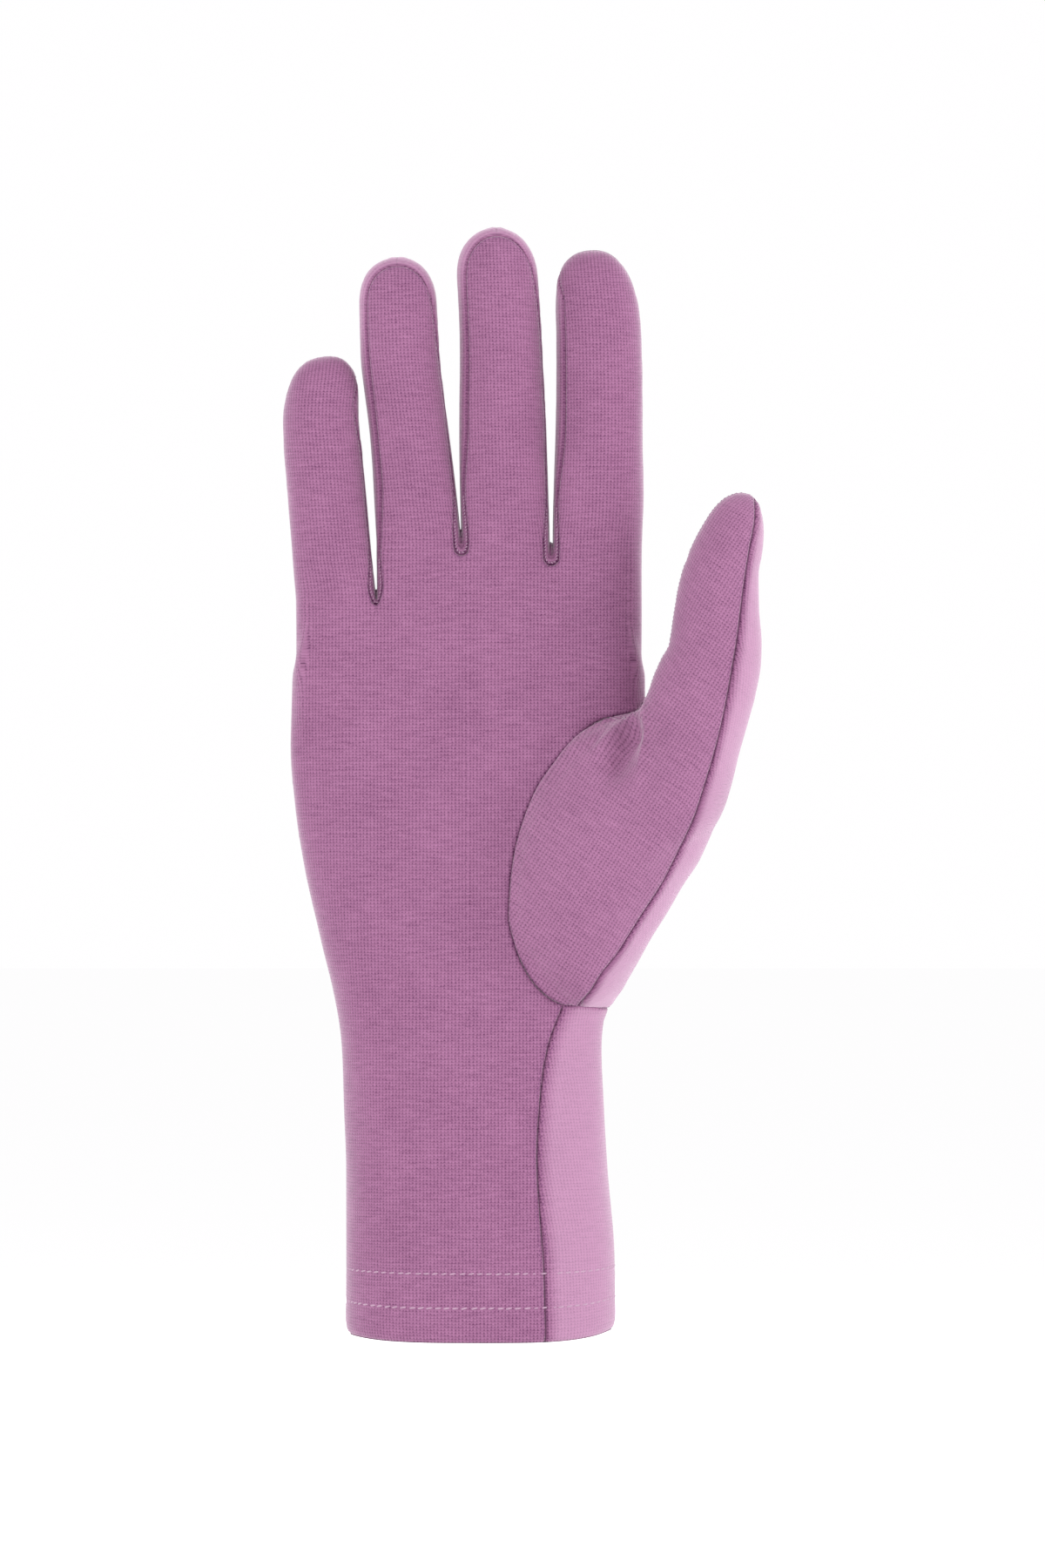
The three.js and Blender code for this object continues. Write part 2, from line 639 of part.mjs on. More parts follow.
// A panel's cutting solid: all that lies in front of the palm edges or behind the back edges
function panelSolid(edge) {
  const clear = edge === "palm" ? -SEAM_GAP / 2 : SEAM_GAP / 2;
  const onSide = (z) => ({ palm: sideSeamAt(z), back: sideSeamAt(z) });
  const plain = (x) => ({ x, edges: onSide });
  const onFork = (fork, name, x) => {
    return { x, edges: (z) => (z > CURL_START ? fourchetteEdges(fork, name, z) : onSide(z)) };
  };
  const overFork = (fork) => [
    onFork(fork, fork.from, middleColumnX(fork.from, SEAM_GAP / 4)),
    onFork(fork, fork.from, gapColumnX(fork, -GAP_SHARE)),
    onFork(fork, fork.to, gapColumnX(fork, GAP_SHARE)),
    onFork(fork, fork.to, middleColumnX(fork.to, -SEAM_GAP / 4)),
  ];
  const columns = [
    plain(() => -FAR),
    plain(middleColumnX("little", -SINGLE_SIDE)),
    ...FORKS.flatMap(overFork),
    plain(middleColumnX("index", SINGLE_SIDE)),
    plain(() => FAR),
  ];
  const heights = [-FAR, ...seamHeights(), 2 * FAR];
  const surfaces = columns.map((column) => (z) => {
    const y = column.edges(z)[edge] + clear;
    const near = edge === "palm" ? -FAR : y;
    const far = edge === "palm" ? y : FAR;
    return { x: column.x(z), near, far };
  });
  return slab(surfaces, heights);
}

// One finger's half of a fourchette's cutting solid, from the middle of the finger into the gap
function fourchetteHalfSolid(fork, name) {
  const first = name === fork.from;
  const reach = fourchetteReach(fork, name);
  const onMiddle = middleColumnX(name, first ? SEAM_GAP / 2 : -SEAM_GAP / 2);
  const inGap = gapColumnX(fork, first ? GAP_SHARE : -GAP_SHARE);
  const surfaces = (first ? [onMiddle, inGap] : [inGap, onMiddle]).map((x) => (z) => {
    const edges = fourchetteEdges(fork, name, z);
    return { x: x(z), near: edges.palm + SEAM_GAP / 2, far: edges.back - SEAM_GAP / 2 };
  });
  const heights = seamHeights().filter((z) => z >= reach.low && z <= reach.high);
  return slab(surfaces, heights);
}

const fourchetteSolid = (fork) => {
  return fourchetteHalfSolid(fork, fork.from).add(fourchetteHalfSolid(fork, fork.to));
};

// The pieces

const shell = clothShell();
const handCloth = shell.subtract(thumbSideSolid(SEAM_GAP));
const solids = {
  palm_panel: handCloth.intersect(panelSolid("palm").subtract(cuffFlapSolid(SEAM_GAP))),
  back_panel: handCloth.intersect(panelSolid("back").add(cuffFlapSolid(0))),
  thumb: shell.intersect(thumbSideSolid(0)),
};
for (const fork of FORKS) {
  solids[fork.name] = handCloth.intersect(fourchetteSolid(fork));
}

const COLOURS = {
  palm_panel: "#a47095",
  back_panel: "#a47196",
  thumb: "#a9799c",
  fourchette_little_ring: "#8f6486",
  fourchette_ring_middle: "#8f6486",
  fourchette_middle_index: "#8f6486",
};
const CLOTH_ROUGHNESS = 0.9;

const liner = new THREE.Group();
liner.name = "glove_liner";
for (const [name, solid] of Object.entries(solids)) {
  const material = new THREE.MeshStandardMaterial({
    color: COLOURS[name],
    roughness: CLOTH_ROUGHNESS,
    metalness: 0,
  });
  const mesh = new THREE.Mesh(toGeometry(solid), material);
  mesh.name = name;
  liner.add(mesh);
}

export default liner;
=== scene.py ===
import math

import bpy
import numpy as np
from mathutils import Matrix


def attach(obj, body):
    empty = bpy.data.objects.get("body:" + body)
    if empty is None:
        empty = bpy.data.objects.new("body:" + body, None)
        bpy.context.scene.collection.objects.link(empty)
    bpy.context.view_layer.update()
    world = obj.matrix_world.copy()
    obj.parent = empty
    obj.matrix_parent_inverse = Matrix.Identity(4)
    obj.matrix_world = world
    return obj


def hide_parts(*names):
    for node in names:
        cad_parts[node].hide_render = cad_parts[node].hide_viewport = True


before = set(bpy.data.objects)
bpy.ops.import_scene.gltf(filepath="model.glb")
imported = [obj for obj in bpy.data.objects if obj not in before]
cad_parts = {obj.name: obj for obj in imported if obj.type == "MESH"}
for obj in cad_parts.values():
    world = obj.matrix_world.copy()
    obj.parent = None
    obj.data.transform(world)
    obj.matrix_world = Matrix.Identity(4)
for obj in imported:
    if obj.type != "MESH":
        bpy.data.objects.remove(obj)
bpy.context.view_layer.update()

# All sizes below are in millimetres. The liner stands on its cuff with the fingers up (+Z), the palm
# faces -Y and the thumb is on the +X side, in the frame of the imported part.
MM = 0.001

CUFF_LENGTH = 72.0
CUFF_WIDTH = 60.5
CUFF_DEPTH = 41.0
PALM_LENGTH = 95.0
PALM_WIDTH = 79.5
PALM_DEPTH = 26.0
PALM_CROWN = 18.0
BODY_SQUARENESS = 2.4
SIDE_SEAM_SET_BACK = 2.5
FINGER_CURL = 14.0
CURL_POWER = 1.8
ROOT_DEPTH = 24.0
FORK_DEPTH = 18.6
FORK_CROWN = 13.0
FORK_SPREAD = 14.0
FORK_TAPER = 17.0
FOURCHETTE_SET = 5.2
FOURCHETTE_FLARE = 1.4
FOURCHETTE_TURN = 4.0
FLARE_LENGTH = 12.0
TURN_LENGTH = 30.0
POINT_LENGTH = 11.0
POINT_STOP = 0.8
THUMB_LENGTH = 115.4
THUMB_SPREAD = 63.2
THUMB_FORWARD = 22.0
THUMB_DOME = 15.0
GUSSET_RISE = 2.3
HEM_HEIGHT = 17.0
CLOTH = 0.9

WRIST = CUFF_LENGTH
PALM_TOP = WRIST + PALM_LENGTH
CURL_START = WRIST + 0.8 * PALM_LENGTH
GUSSET_BOTTOM = WRIST + GUSSET_RISE
FINGER_NAMES = ("little", "ring", "middle", "index")

# length, width, depth, rise of the root above the palm, place of the root as a share of PALM_WIDTH,
# height of the round tip, bluntness
FINGERS = {
    "little": (53.9, 17.6, 16.4, 0.0, -0.409, 15.7, 2.5),
    "ring": (63.3, 18.0, 16.8, 12.3, -0.174, 10.8, 2.3),
    "middle": (71.5, 18.8, 17.2, 11.0, 0.0715, 11.8, 2.2),
    "index": (66.4, 19.2, 17.2, 11.0, 0.328, 15.7, 2.4),
}
# height above the palm's end at which the gap to the next finger closes
FORK_RISES = (0.0, 13.3, 11.0)
FORK_NAMES = ("fourchette_little_ring", "fourchette_ring_middle", "fourchette_middle_index")

# up, left, right, front, back, as shares of the cuff's sizes
CUFF_ROWS = (
    (0.0, -0.499, 0.502, 0.5, 0.5),
    (0.28, -0.499, 0.496, 0.5, 0.5),
    (0.53, -0.499, 0.474, 0.49, 0.49),
    (0.74, -0.507, 0.461, 0.475, 0.475),
    (0.92, -0.519, 0.451, 0.46, 0.46),
)
# the same as shares of the palm's sizes
PALM_ROWS = (
    (0.063, -0.416, 0.36, 0.69, 0.69),
    (0.19, -0.45, 0.39, 0.635, 0.62),
    (0.347, -0.493, 0.425, 0.577, 0.56),
    (0.505, -0.522, 0.448, 0.538, 0.52),
    (0.663, -0.537, 0.463, 0.51, 0.495),
    (0.8, -0.533, 0.464, 0.485, 0.47),
    (0.91, -0.518, 0.45, 0.446, 0.43),
)
# up, sideways shift, width, as shares of a finger's length and width
FINGER_ROWS = {
    "little": (
        (0, 0, 1.02), (0.3, -0.089, 1.0), (0.59, -0.161, 1.0), (0.74, -0.194, 0.967), (1, -0.128, 0.96),
    ),
    "ring": (
        (0, 0, 1.054), (0.19, -0.06, 1.022), (0.43, -0.147, 0.978), (0.68, -0.239, 0.962), (1, -0.272, 0.957),
    ),
    "middle": (
        (0, 0, 1.0625), (0.18, -0.021, 1.042), (0.4, -0.042, 1.021), (0.62, -0.0625, 0.979),
        (1, -0.115, 0.969),
    ),
    "index": (
        (0, 0, 1.041), (0.2, 0.02, 1.041), (0.43, 0.031, 1.02), (0.7, 0.018, 0.98), (1, -0.061, 0.959),
    ),
}
# up, left, right, middle, front, back, as shares of THUMB_LENGTH, THUMB_SPREAD and THUMB_FORWARD
GUSSET_ROWS = (
    (0.005, 0.245, 0.475, 0, 0.8, 0.3),
    (0.051, 0.182, 0.516, 0.14, 0.8, 0.55),
    (0.098, 0.127, 0.565, 0.27, 0.78, 0.72),
    (0.14, 0.08, 0.608, 0.36, 0.76, 0.8),
    (0.229, 0.09, 0.704, 0.41, 0.82, 0.82),
    (0.302, 0.115, 0.785, 0.46, 0.82, 0.82),
    (0.37, 0.15, 0.835, 0.49, 0.75, 0.78),
    (0.438, 0.204, 0.84, 0.5, 0.62, 0.7),
    (0.477, 0.252, 0.82, 0.5, 0.52, 0.62),
    (0.518, 0.31, 0.79, 0.5, 0.41, 0.52),
    (0.545, 0.39, 0.74, 0.48, 0.28, 0.4),
    (0.563, 0.47, 0.7, 0.44, 0.14, 0.28),
)
THUMB_ROWS = (
    (0.229, 0.42, 0.62, 0.45, 0.5, 0.5),
    (0.302, 0.44, 0.74, 0.52, 0.62, 0.66),
    (0.37, 0.485, 0.846, 0.57, 0.68, 0.78),
    (0.439, 0.522, 0.888, 0.6, 0.68, 0.8),
    (0.507, 0.549, 0.918, 0.64, 0.65, 0.74),
    (0.575, 0.566, 0.953, 0.69, 0.6, 0.62),
    (0.608, 0.589, 0.971, 0.72, 0.57, 0.57),
    (0.676, 0.637, 0.993, 0.77, 0.53, 0.52),
    (0.71, 0.669, 0.995, 0.8, 0.5, 0.5),
    (0.778, 0.688, 0.986, 0.86, 0.465, 0.46),
    (0.846, 0.713, 0.983, 0.91, 0.44, 0.43),
    (0.88, 0.735, 0.993, 0.94, 0.425, 0.415),
    (0.95, 0.775, 1.022, 0.98, 0.4, 0.4),
    (1.0, 0.794, 1.047, 1.0, 0.39, 0.39),
)
# the gusset's seam on the palm side and on the back, and the line between thumb and palm above it,
# as shares of THUMB_SPREAD and THUMB_LENGTH
GUSSET_SEAM = (
    (0.46, 0.002), (0.348, 0.005), (0.294, 0.009), (0.23, 0.029), (0.16, 0.076), (0.112, 0.14),
    (0.097, 0.182), (0.1, 0.229), (0.112, 0.294), (0.133, 0.343), (0.165, 0.393), (0.204, 0.438),
    (0.252, 0.477), (0.31, 0.518), (0.375, 0.547), (0.456, 0.569), (0.562, 0.583),
)
GUSSET_SEAM_BACK = ((0.43, 0.002), (0.43, 0.05), (0.45, 0.18), (0.485, 0.35), (0.53, 0.49), (0.562, 0.583))
THUMB_SIDE_LINE = ((0.583, 0.608), (0.594, 0.632), (0.617, 0.665), (0.642, 0.71), (0.672, 0.83), (0.672, 1.2))
# the cuff's sewn seam on the palm side, as shares of CUFF_WIDTH and CUFF_LENGTH
CUFF_SEAM = ((0.246, -0.1), (0.236, 0.22), (0.218, 0.42), (0.21, 0.57), (0.226, 0.79), (0.255, 0.93))
# the thumb's long seam on the palm side, from its tip to the bottom of the gusset, in millimetres
THUMB_SEAM = (
    (61.0, 191.0), (61.2, 187.5), (61.3, 185.0), (60.0, 177.4), (58.8, 168.4), (57.4, 158.2), (56.1, 150.3),
    (54.7, 142.3), (51.9, 130.3), (49.8, 123.5), (47.8, 117.6), (45.1, 111.9), (41.6, 104.5),
    (38.2, 98.6), (35.7, 94.5), (33.1, 90.6), (30.2, 86.2), (27.0, 82.3), (24.9, 78.8), (22.0, 75.3),
    (20.0, 72.0),
)

# Numbers along tables


def smooth_step(t):
    s = np.clip(t, 0.0, 1.0)
    return s * s * (3.0 - 2.0 * s)


def slopes_of(xs, ys):
    """Slopes that keep a curve through the points from overshooting."""
    step = np.diff(xs)
    rate = np.diff(ys) / step
    slopes = np.empty(len(xs))
    slopes[0] = rate[0]
    slopes[-1] = rate[-1]
    for i in range(1, len(xs) - 1):
        a, b = rate[i - 1], rate[i]
        if a * b <= 0:
            slopes[i] = 0.0
        else:
            w1 = 2 * step[i] + step[i - 1]
            w2 = step[i] + 2 * step[i - 1]
            slopes[i] = (w1 + w2) / (w1 / a + w2 / b)
    return slopes


def curve(xs, ys):
    """A smooth curve through the points, held at its end values outside them."""
    xs = np.array(xs, float)
    ys = np.array(ys, float)
    slopes = slopes_of(xs, ys)

    def at(x):
        x = np.clip(x, xs[0], xs[-1])
        i = np.clip(np.searchsorted(xs, x, side="right") - 1, 0, len(xs) - 2)
        h = xs[i + 1] - xs[i]
        t = (x - xs[i]) / h
        a = (1 + 2 * t) * (1 - t) ** 2
        b = t * (1 - t) ** 2
        c = t * t * (3 - 2 * t)
        d = t * t * (t - 1)
        return a * ys[i] + b * h * slopes[i] + c * ys[i + 1] + d * h * slopes[i + 1]

    return at


def smooth_line(points, count):
    """Evenly spaced points on a smooth line through the given ones."""
    points = np.array(points, float)
    along = np.concatenate([[0], np.cumsum(np.hypot(*np.diff(points, axis=0).T))])
    ax = curve(along, points[:, 0])
    az = curve(along, points[:, 1])
    t = np.linspace(0, along[-1], count)
    return np.stack([ax(t), az(t)], 1)


# Sections of the forms

curl_end = max(PALM_TOP + f[3] + f[0] for f in FINGERS.values())


def curl_at(z):
    t = np.maximum(0.0, (z - CURL_START) / (curl_end - CURL_START))
    return -FINGER_CURL * t**CURL_POWER


body_z = [r[0] * CUFF_LENGTH for r in CUFF_ROWS] + [WRIST + r[0] * PALM_LENGTH for r in PALM_ROWS]


def body_column(i, cuff_size, palm_size):
    return curve(body_z, [r[i] * cuff_size for r in CUFF_ROWS] + [r[i] * palm_size for r in PALM_ROWS])


body_left = body_column(1, CUFF_WIDTH, PALM_WIDTH)
body_right = body_column(2, CUFF_WIDTH, PALM_WIDTH)
body_front = body_column(3, CUFF_DEPTH, PALM_DEPTH)
body_back = body_column(4, CUFF_DEPTH, PALM_DEPTH)


def body_section(z):
    left = body_left(z)
    right = body_right(z)
    return (left + right) / 2, curl_at(z), (right - left) / 2, body_front(z), body_back(z)


finger_columns = {}
for name, (length, width, depth, rise, root, dome, blunt) in FINGERS.items():
    heights = [PALM_TOP + rise + r[0] * length for r in FINGER_ROWS[name]]
    finger_columns[name] = (
        curve(heights, [root * PALM_WIDTH + r[1] * width for r in FINGER_ROWS[name]]),
        curve(heights, [r[2] * width / 2 for r in FINGER_ROWS[name]]),
    )


def finger_tip(name):
    return PALM_TOP + FINGERS[name][3] + FINGERS[name][0]


# size of a finger's lower end inside the palm, and what it gains up to its full size
ROOT_SIZE = 0.7
ROOT_GAIN = 0.3


def finger_section(name, z):
    middle, half = finger_columns[name]
    taper = ROOT_SIZE + ROOT_GAIN * smooth_step((z - PALM_TOP + ROOT_DEPTH) / (ROOT_DEPTH / 2))
    depth = FINGERS[name][2] / 2 * taper
    return middle(z), curl_at(z), half(z) * taper, depth, depth


def thumb_columns(rows):
    heights = [GUSSET_BOTTOM + r[0] * THUMB_LENGTH for r in rows]
    left = curve(heights, [r[1] * THUMB_SPREAD for r in rows])
    right = curve(heights, [r[2] * THUMB_SPREAD for r in rows])
    middle = curve(heights, [-r[3] * THUMB_FORWARD for r in rows])
    front = curve(heights, [r[4] * THUMB_FORWARD for r in rows])
    back = curve(heights, [r[5] * THUMB_FORWARD for r in rows])

    def section(z):
        a, b = left(z), right(z)
        return (a + b) / 2, middle(z), (b - a) / 2, front(z), back(z)

    return section


gusset_section = thumb_columns(GUSSET_ROWS)
thumb_section = thumb_columns(THUMB_ROWS)
GUSSET_LOW = GUSSET_BOTTOM + GUSSET_ROWS[0][0] * THUMB_LENGTH
GUSSET_HIGH = GUSSET_BOTTOM + GUSSET_ROWS[-1][0] * THUMB_LENGTH
THUMB_LOW = GUSSET_BOTTOM + THUMB_ROWS[0][0] * THUMB_LENGTH
THUMB_TIP = GUSSET_BOTTOM + THUMB_LENGTH

# a finger's squareness, how much more it has beside a fork, and the length over which that fades
FINGER_SQUARENESS = 2.05
SQUARE_GAIN = 1.4
SQUARE_LENGTH = 26.0
# a round section, a round dome, and the start of a dome that is never reached
ROUND = 2
ROUND_DOME = 2.0
NO_DOME = 1000.0
LEAST_GRADE = 0.6
TINY = 1e-6
# how far two forms that meet blend into each other
FORK_BLEND = 1.2
FINGER_BLEND = 1.5
FINGER_BLEND_GAIN = 6.0
THUMB_BLEND = 0.8
THUMB_BLEND_GAIN = 5.2
THUMB_BLEND_EDGE = 3.0
HAND_BLEND = 3.0
BLEND_LENGTH = 8.0
GUSSET_ROUND = 5.0

# The surface of the cloth, as a field that is below zero inside the filled liner


def rounded_field(x, y, z, section, squareness, dome_start, dome, blunt):
    """About the distance to a form of level sections with a round top."""
    cx, cy, half, front, back = section
    depth = np.where(y < cy, front, back)
    u = np.abs(x - cx) / half
    v = np.abs(y - cy) / depth
    if isinstance(squareness, int):
        rho = np.sqrt(u * u + v * v) + TINY
        gx = u / rho / half
        gy = v / rho / depth
    else:
        rho = (u**squareness + v**squareness) ** (1 / squareness) + TINY
        gx = (u / rho) ** (squareness - 1) / half
        gy = (v / rho) ** (squareness - 1) / depth
    up = np.clip((z - dome_start) / dome, 0.0, None)
    whole = (rho**blunt + up**blunt) ** (1 / blunt)
    gr = (rho / whole) ** (blunt - 1)
    gz = (up / whole) ** (blunt - 1) / dome
    grade = np.sqrt(gr * gr * (gx * gx + gy * gy) + gz * gz)
    return (whole - 1.0) / np.maximum(grade, LEAST_GRADE / np.maximum(half, depth))


def soft_min(a, b, reach):
    near = np.clip(1 - np.abs(a - b) / reach, 0, None)
    return np.minimum(a, b) - near * near * reach / 4


def body_field(x, y, z):
    dome_start = PALM_TOP - PALM_CROWN
    return rounded_field(x, y, z, body_section(z), BODY_SQUARENESS, dome_start, PALM_CROWN, ROUND_DOME)


def finger_field(name, x, y, z):
    dome, blunt = FINGERS[name][5:]
    section = finger_section(name, z)
    i = FINGER_NAMES.index(name)
    near_left = 0.0 if i == 0 else 1 - smooth_step((z - PALM_TOP - FORK_RISES[i - 1]) / SQUARE_LENGTH)
    near_right = 0.0 if i == 3 else 1 - smooth_step((z - PALM_TOP - FORK_RISES[i]) / SQUARE_LENGTH)
    squareness = FINGER_SQUARENESS + SQUARE_GAIN * np.where(x < section[0], near_left, near_right)
    field = rounded_field(x, y, z, section, squareness, finger_tip(name) - dome, dome, blunt)
    return np.maximum(field, PALM_TOP - ROOT_DEPTH - z)


def fork_field(i, x, y, z):
    top = PALM_TOP + FORK_RISES[i]
    left = finger_section(FINGER_NAMES[i], top)
    right = finger_section(FINGER_NAMES[i + 1], top)
    cx = (left[0] + left[2] + right[0] - right[2]) / 2
    half = FORK_DEPTH / 2 * (0.5 + 0.5 * smooth_step((z - PALM_TOP + ROOT_DEPTH) / FORK_TAPER))
    section = (cx, curl_at(z), FORK_SPREAD, half, half)
    field = rounded_field(x, y, z, section, ROUND, top - FORK_CROWN, FORK_CROWN, ROUND_DOME)
    field = np.maximum(field, np.abs(x - cx) - FORK_SPREAD / 2)
    return np.maximum(field, PALM_TOP - ROOT_DEPTH - z)


def gusset_field(x, y, z):
    field = rounded_field(x, y, z, gusset_section(z), ROUND, NO_DOME, 1.0, ROUND_DOME)
    field = np.maximum(field, z - GUSSET_HIGH)
    return -soft_min(-field, z - GUSSET_LOW, GUSSET_ROUND)


def thumb_field(x, y, z):
    dome_start = THUMB_TIP - THUMB_DOME
    field = rounded_field(x, y, z, thumb_section(z), ROUND, dome_start, THUMB_DOME, ROUND_DOME)
    return np.maximum(field, THUMB_LOW - z)


def whole_field(x, y, z):
    fingers = None
    for name in FINGER_NAMES:
        field = finger_field(name, x, y, z)
        fingers = field if fingers is None else np.minimum(fingers, field)
    forks = np.minimum(np.minimum(fork_field(0, x, y, z), fork_field(1, x, y, z)), fork_field(2, x, y, z))
    fingers = soft_min(fingers, forks, FORK_BLEND)
    reach = FINGER_BLEND + FINGER_BLEND_GAIN * smooth_step(np.abs(y - curl_at(z)) / BLEND_LENGTH)
    hand = soft_min(body_field(x, y, z), fingers, reach)
    cx, _, wide = thumb_section(z)[:3]
    from_edge = cx + wide - THUMB_BLEND_EDGE - x
    reach = THUMB_BLEND + THUMB_BLEND_GAIN * smooth_step(from_edge / BLEND_LENGTH)
    thumb = soft_min(gusset_field(x, y, z), thumb_field(x, y, z), reach)
    return soft_min(hand, thumb, HAND_BLEND)


# A mesh of that surface

GRID_X = (-45.0, 69.5)
GRID_Y = (-34.0, 24.0)
GRID_Z = (-2.4, 252.5)
GRID_STEP = 1.5
# finer steps across the narrow gaps between the fingers and beside the thumb, and at the folds
FINE_STEP = 0.45
FOLD_STEP = 0.75
GAP_PLACES = (-23.3, -4.4, 15.9, 37.2)
GAP_REACH = 2.0
FOLDS_X = (22.0, 39.0)
FOLDS_Z = (115.0, 146.0)


def spaced(low, high, step_at):
    places = [low]
    while places[-1] < high:
        places.append(places[-1] + step_at(places[-1]))
    return np.array(places)


def grid_lines():
    def step_x(x):
        if min(abs(x - place) for place in GAP_PLACES) < GAP_REACH:
            return FINE_STEP
        return FOLD_STEP if FOLDS_X[0] < x < FOLDS_X[1] else GRID_STEP

    def step_z(z):
        return FOLD_STEP if FOLDS_Z[0] < z < FOLDS_Z[1] else GRID_STEP

    return spaced(*GRID_X, step_x), spaced(*GRID_Y, lambda y: GRID_STEP), spaced(*GRID_Z, step_z)


def surface_net(field, lines):
    """Vertices, one in each cell that the surface crosses, and the quads between them."""
    inside = field < 0
    shape = tuple(n - 1 for n in field.shape)
    corners = [(a, b, c) for a in (0, 1) for b in (0, 1) for c in (0, 1)]
    total = np.zeros(shape, np.int8)
    for a, b, c in corners:
        total += inside[a : a + shape[0], b : b + shape[1], c : c + shape[2]]
    cells = np.argwhere((total > 0) & (total < 8))
    number = np.full(shape, -1, np.int64)
    number[tuple(cells.T)] = np.arange(len(cells))
    points = np.zeros((len(cells), 3))
    hits = np.zeros(len(cells))
    for low in corners:
        for axis in range(3):
            if low[axis]:
                continue
            high = list(low)
            high[axis] = 1
            i = cells + low
            j = cells + high
            fa = field[tuple(i.T)]
            fb = field[tuple(j.T)]
            cross = (fa < 0) != (fb < 0)
            t = np.where(cross, fa / np.where(cross, fa - fb, 1), 0)
            for k in range(3):
                pa = lines[k][i[:, k]]
                pb = lines[k][j[:, k]]
                points[:, k] += cross * (pa + t * (pb - pa))
            hits += cross
    points /= hits[:, None]
    quads = []
    for axis in range(3):
        others = [k for k in range(3) if k != axis]
        first = [slice(None)] * 3
        second = [slice(None)] * 3
        first[axis] = slice(None, -1)
        second[axis] = slice(1, None)
        for k in others:
            first[k] = slice(1, -1)
            second[k] = slice(1, -1)
        a = inside[tuple(first)]
        b = inside[tuple(second)]
        edges = np.argwhere(a != b)
        outward = a[tuple(edges.T)]
        around = []
        for da, db in ((0, 0), (1, 0), (1, 1), (0, 1)):
            cell = edges.copy()
            cell[:, others[0]] += da
            cell[:, others[1]] += db
            around.append(number[tuple(cell.T)])
        quad = np.stack(around, 1)
        flip = outward if axis != 1 else ~outward
        quad[~flip] = quad[~flip][:, ::-1]
        quads.append(quad)
    return points, np.concatenate(quads)


def gradient(points, step=0.02):
    x, y, z = points.T
    g = np.empty_like(points)
    for k in range(3):
        d = np.zeros(3)
        d[k] = step
        g[:, k] = whole_field(x + d[0], y + d[1], z + d[2]) - whole_field(x - d[0], y - d[1], z - d[2])
    return g / (2 * step)


LEAST_SIZE = 0.05
LONGEST_MOVE = 0.5


def to_surface(points, rounds):
    """Moves points along the field's slope until they lie on the surface."""
    for _ in range(rounds):
        g = gradient(points)
        f = whole_field(*points.T)
        size = np.maximum((g * g).sum(1), LEAST_SIZE)
        move = np.clip(f / size, -LONGEST_MOVE, LONGEST_MOVE)
        points = points - move[:, None] * g
    return points


def relax(points, faces, rounds):
    """Moves each vertex towards the middle of its neighbours, and back to the surface."""
    a = np.concatenate([faces[:, i] for i in range(faces.shape[1])])
    b = np.concatenate([faces[:, (i + 1) % faces.shape[1]] for i in range(faces.shape[1])])
    count = np.bincount(a, minlength=len(points)) + np.bincount(b, minlength=len(points))
    for _ in range(rounds):
        middle = np.stack(
            [
                np.bincount(a, points[b, k], len(points)) + np.bincount(b, points[a, k], len(points))
                for k in range(3)
            ],
            1,
        ) / np.maximum(count, 1)[:, None]
        points = to_surface(points + 0.5 * (middle - points), 1)
    return points


def unit(v):
    return v / np.maximum(np.linalg.norm(v, axis=1, keepdims=True), 1e-9)


# Where the pieces are sewn together


def line_distance(line, x, z):
    """Signed distance to a line in the x-z plane, above zero on its right."""
    best = np.full(x.shape, 1e9)
    signed = np.full(x.shape, 1e9)
    for (ax, az), (bx, bz) in zip(line[:-1], line[1:]):
        dx, dz = bx - ax, bz - az
        size = dx * dx + dz * dz
        t = np.clip(((x - ax) * dx + (z - az) * dz) / size, 0, 1)
        px, pz = x - ax - t * dx, z - az - t * dz
        dist = px * px + pz * pz
        side = dx * (z - az) - dz * (x - ax)
        closer = dist < best
        best = np.where(closer, dist, best)
        signed = np.where(closer, np.where(side < 0, 1.0, -1.0), signed)
    return signed * np.sqrt(best)


# a height or a place outside the liner, where a seam's line is carried on to
BEYOND = 200.0


def thumb_line(shares, count):
    points = [(s * THUMB_SPREAD, GUSSET_BOTTOM + up * THUMB_LENGTH) for s, up in shares + THUMB_SIDE_LINE]
    return np.vstack([[[BEYOND, points[0][1]]], smooth_line(points, count)])


# how the cuff's seam runs on under the gusset
CUFF_SEAM_SHIFT = 1.5
CUFF_SEAM_RUN = 12.0

gusset_line_front = thumb_line(GUSSET_SEAM, 90)
gusset_line_back = thumb_line(GUSSET_SEAM_BACK, 50)
joint_x = GUSSET_SEAM[2][0] * THUMB_SPREAD
joint_z = GUSSET_BOTTOM + GUSSET_SEAM[2][1] * THUMB_LENGTH
cuff_line = np.vstack(
    [
        smooth_line([(s * CUFF_WIDTH, up * CUFF_LENGTH) for s, up in CUFF_SEAM] + [(joint_x, joint_z)], 40),
        [[joint_x + CUFF_SEAM_SHIFT, joint_z + CUFF_SEAM_RUN], [joint_x + CUFF_SEAM_SHIFT, BEYOND]],
    ]
)
thumb_seam_line = smooth_line(THUMB_SEAM[::-1], 60)
FLAP_TOP = 120.0


def gusset_distance(x, y, z):
    """Above zero on the thumb's side of the gusset's seam."""
    front = line_distance(gusset_line_front, x, z)
    back = line_distance(gusset_line_back, x, z)
    return np.where(y < 0, front, back)


def nearest_finger(x, y, z):
    fields = np.stack([finger_field(name, x, y, z) for name in FINGER_NAMES])
    return fields.argmin(0)


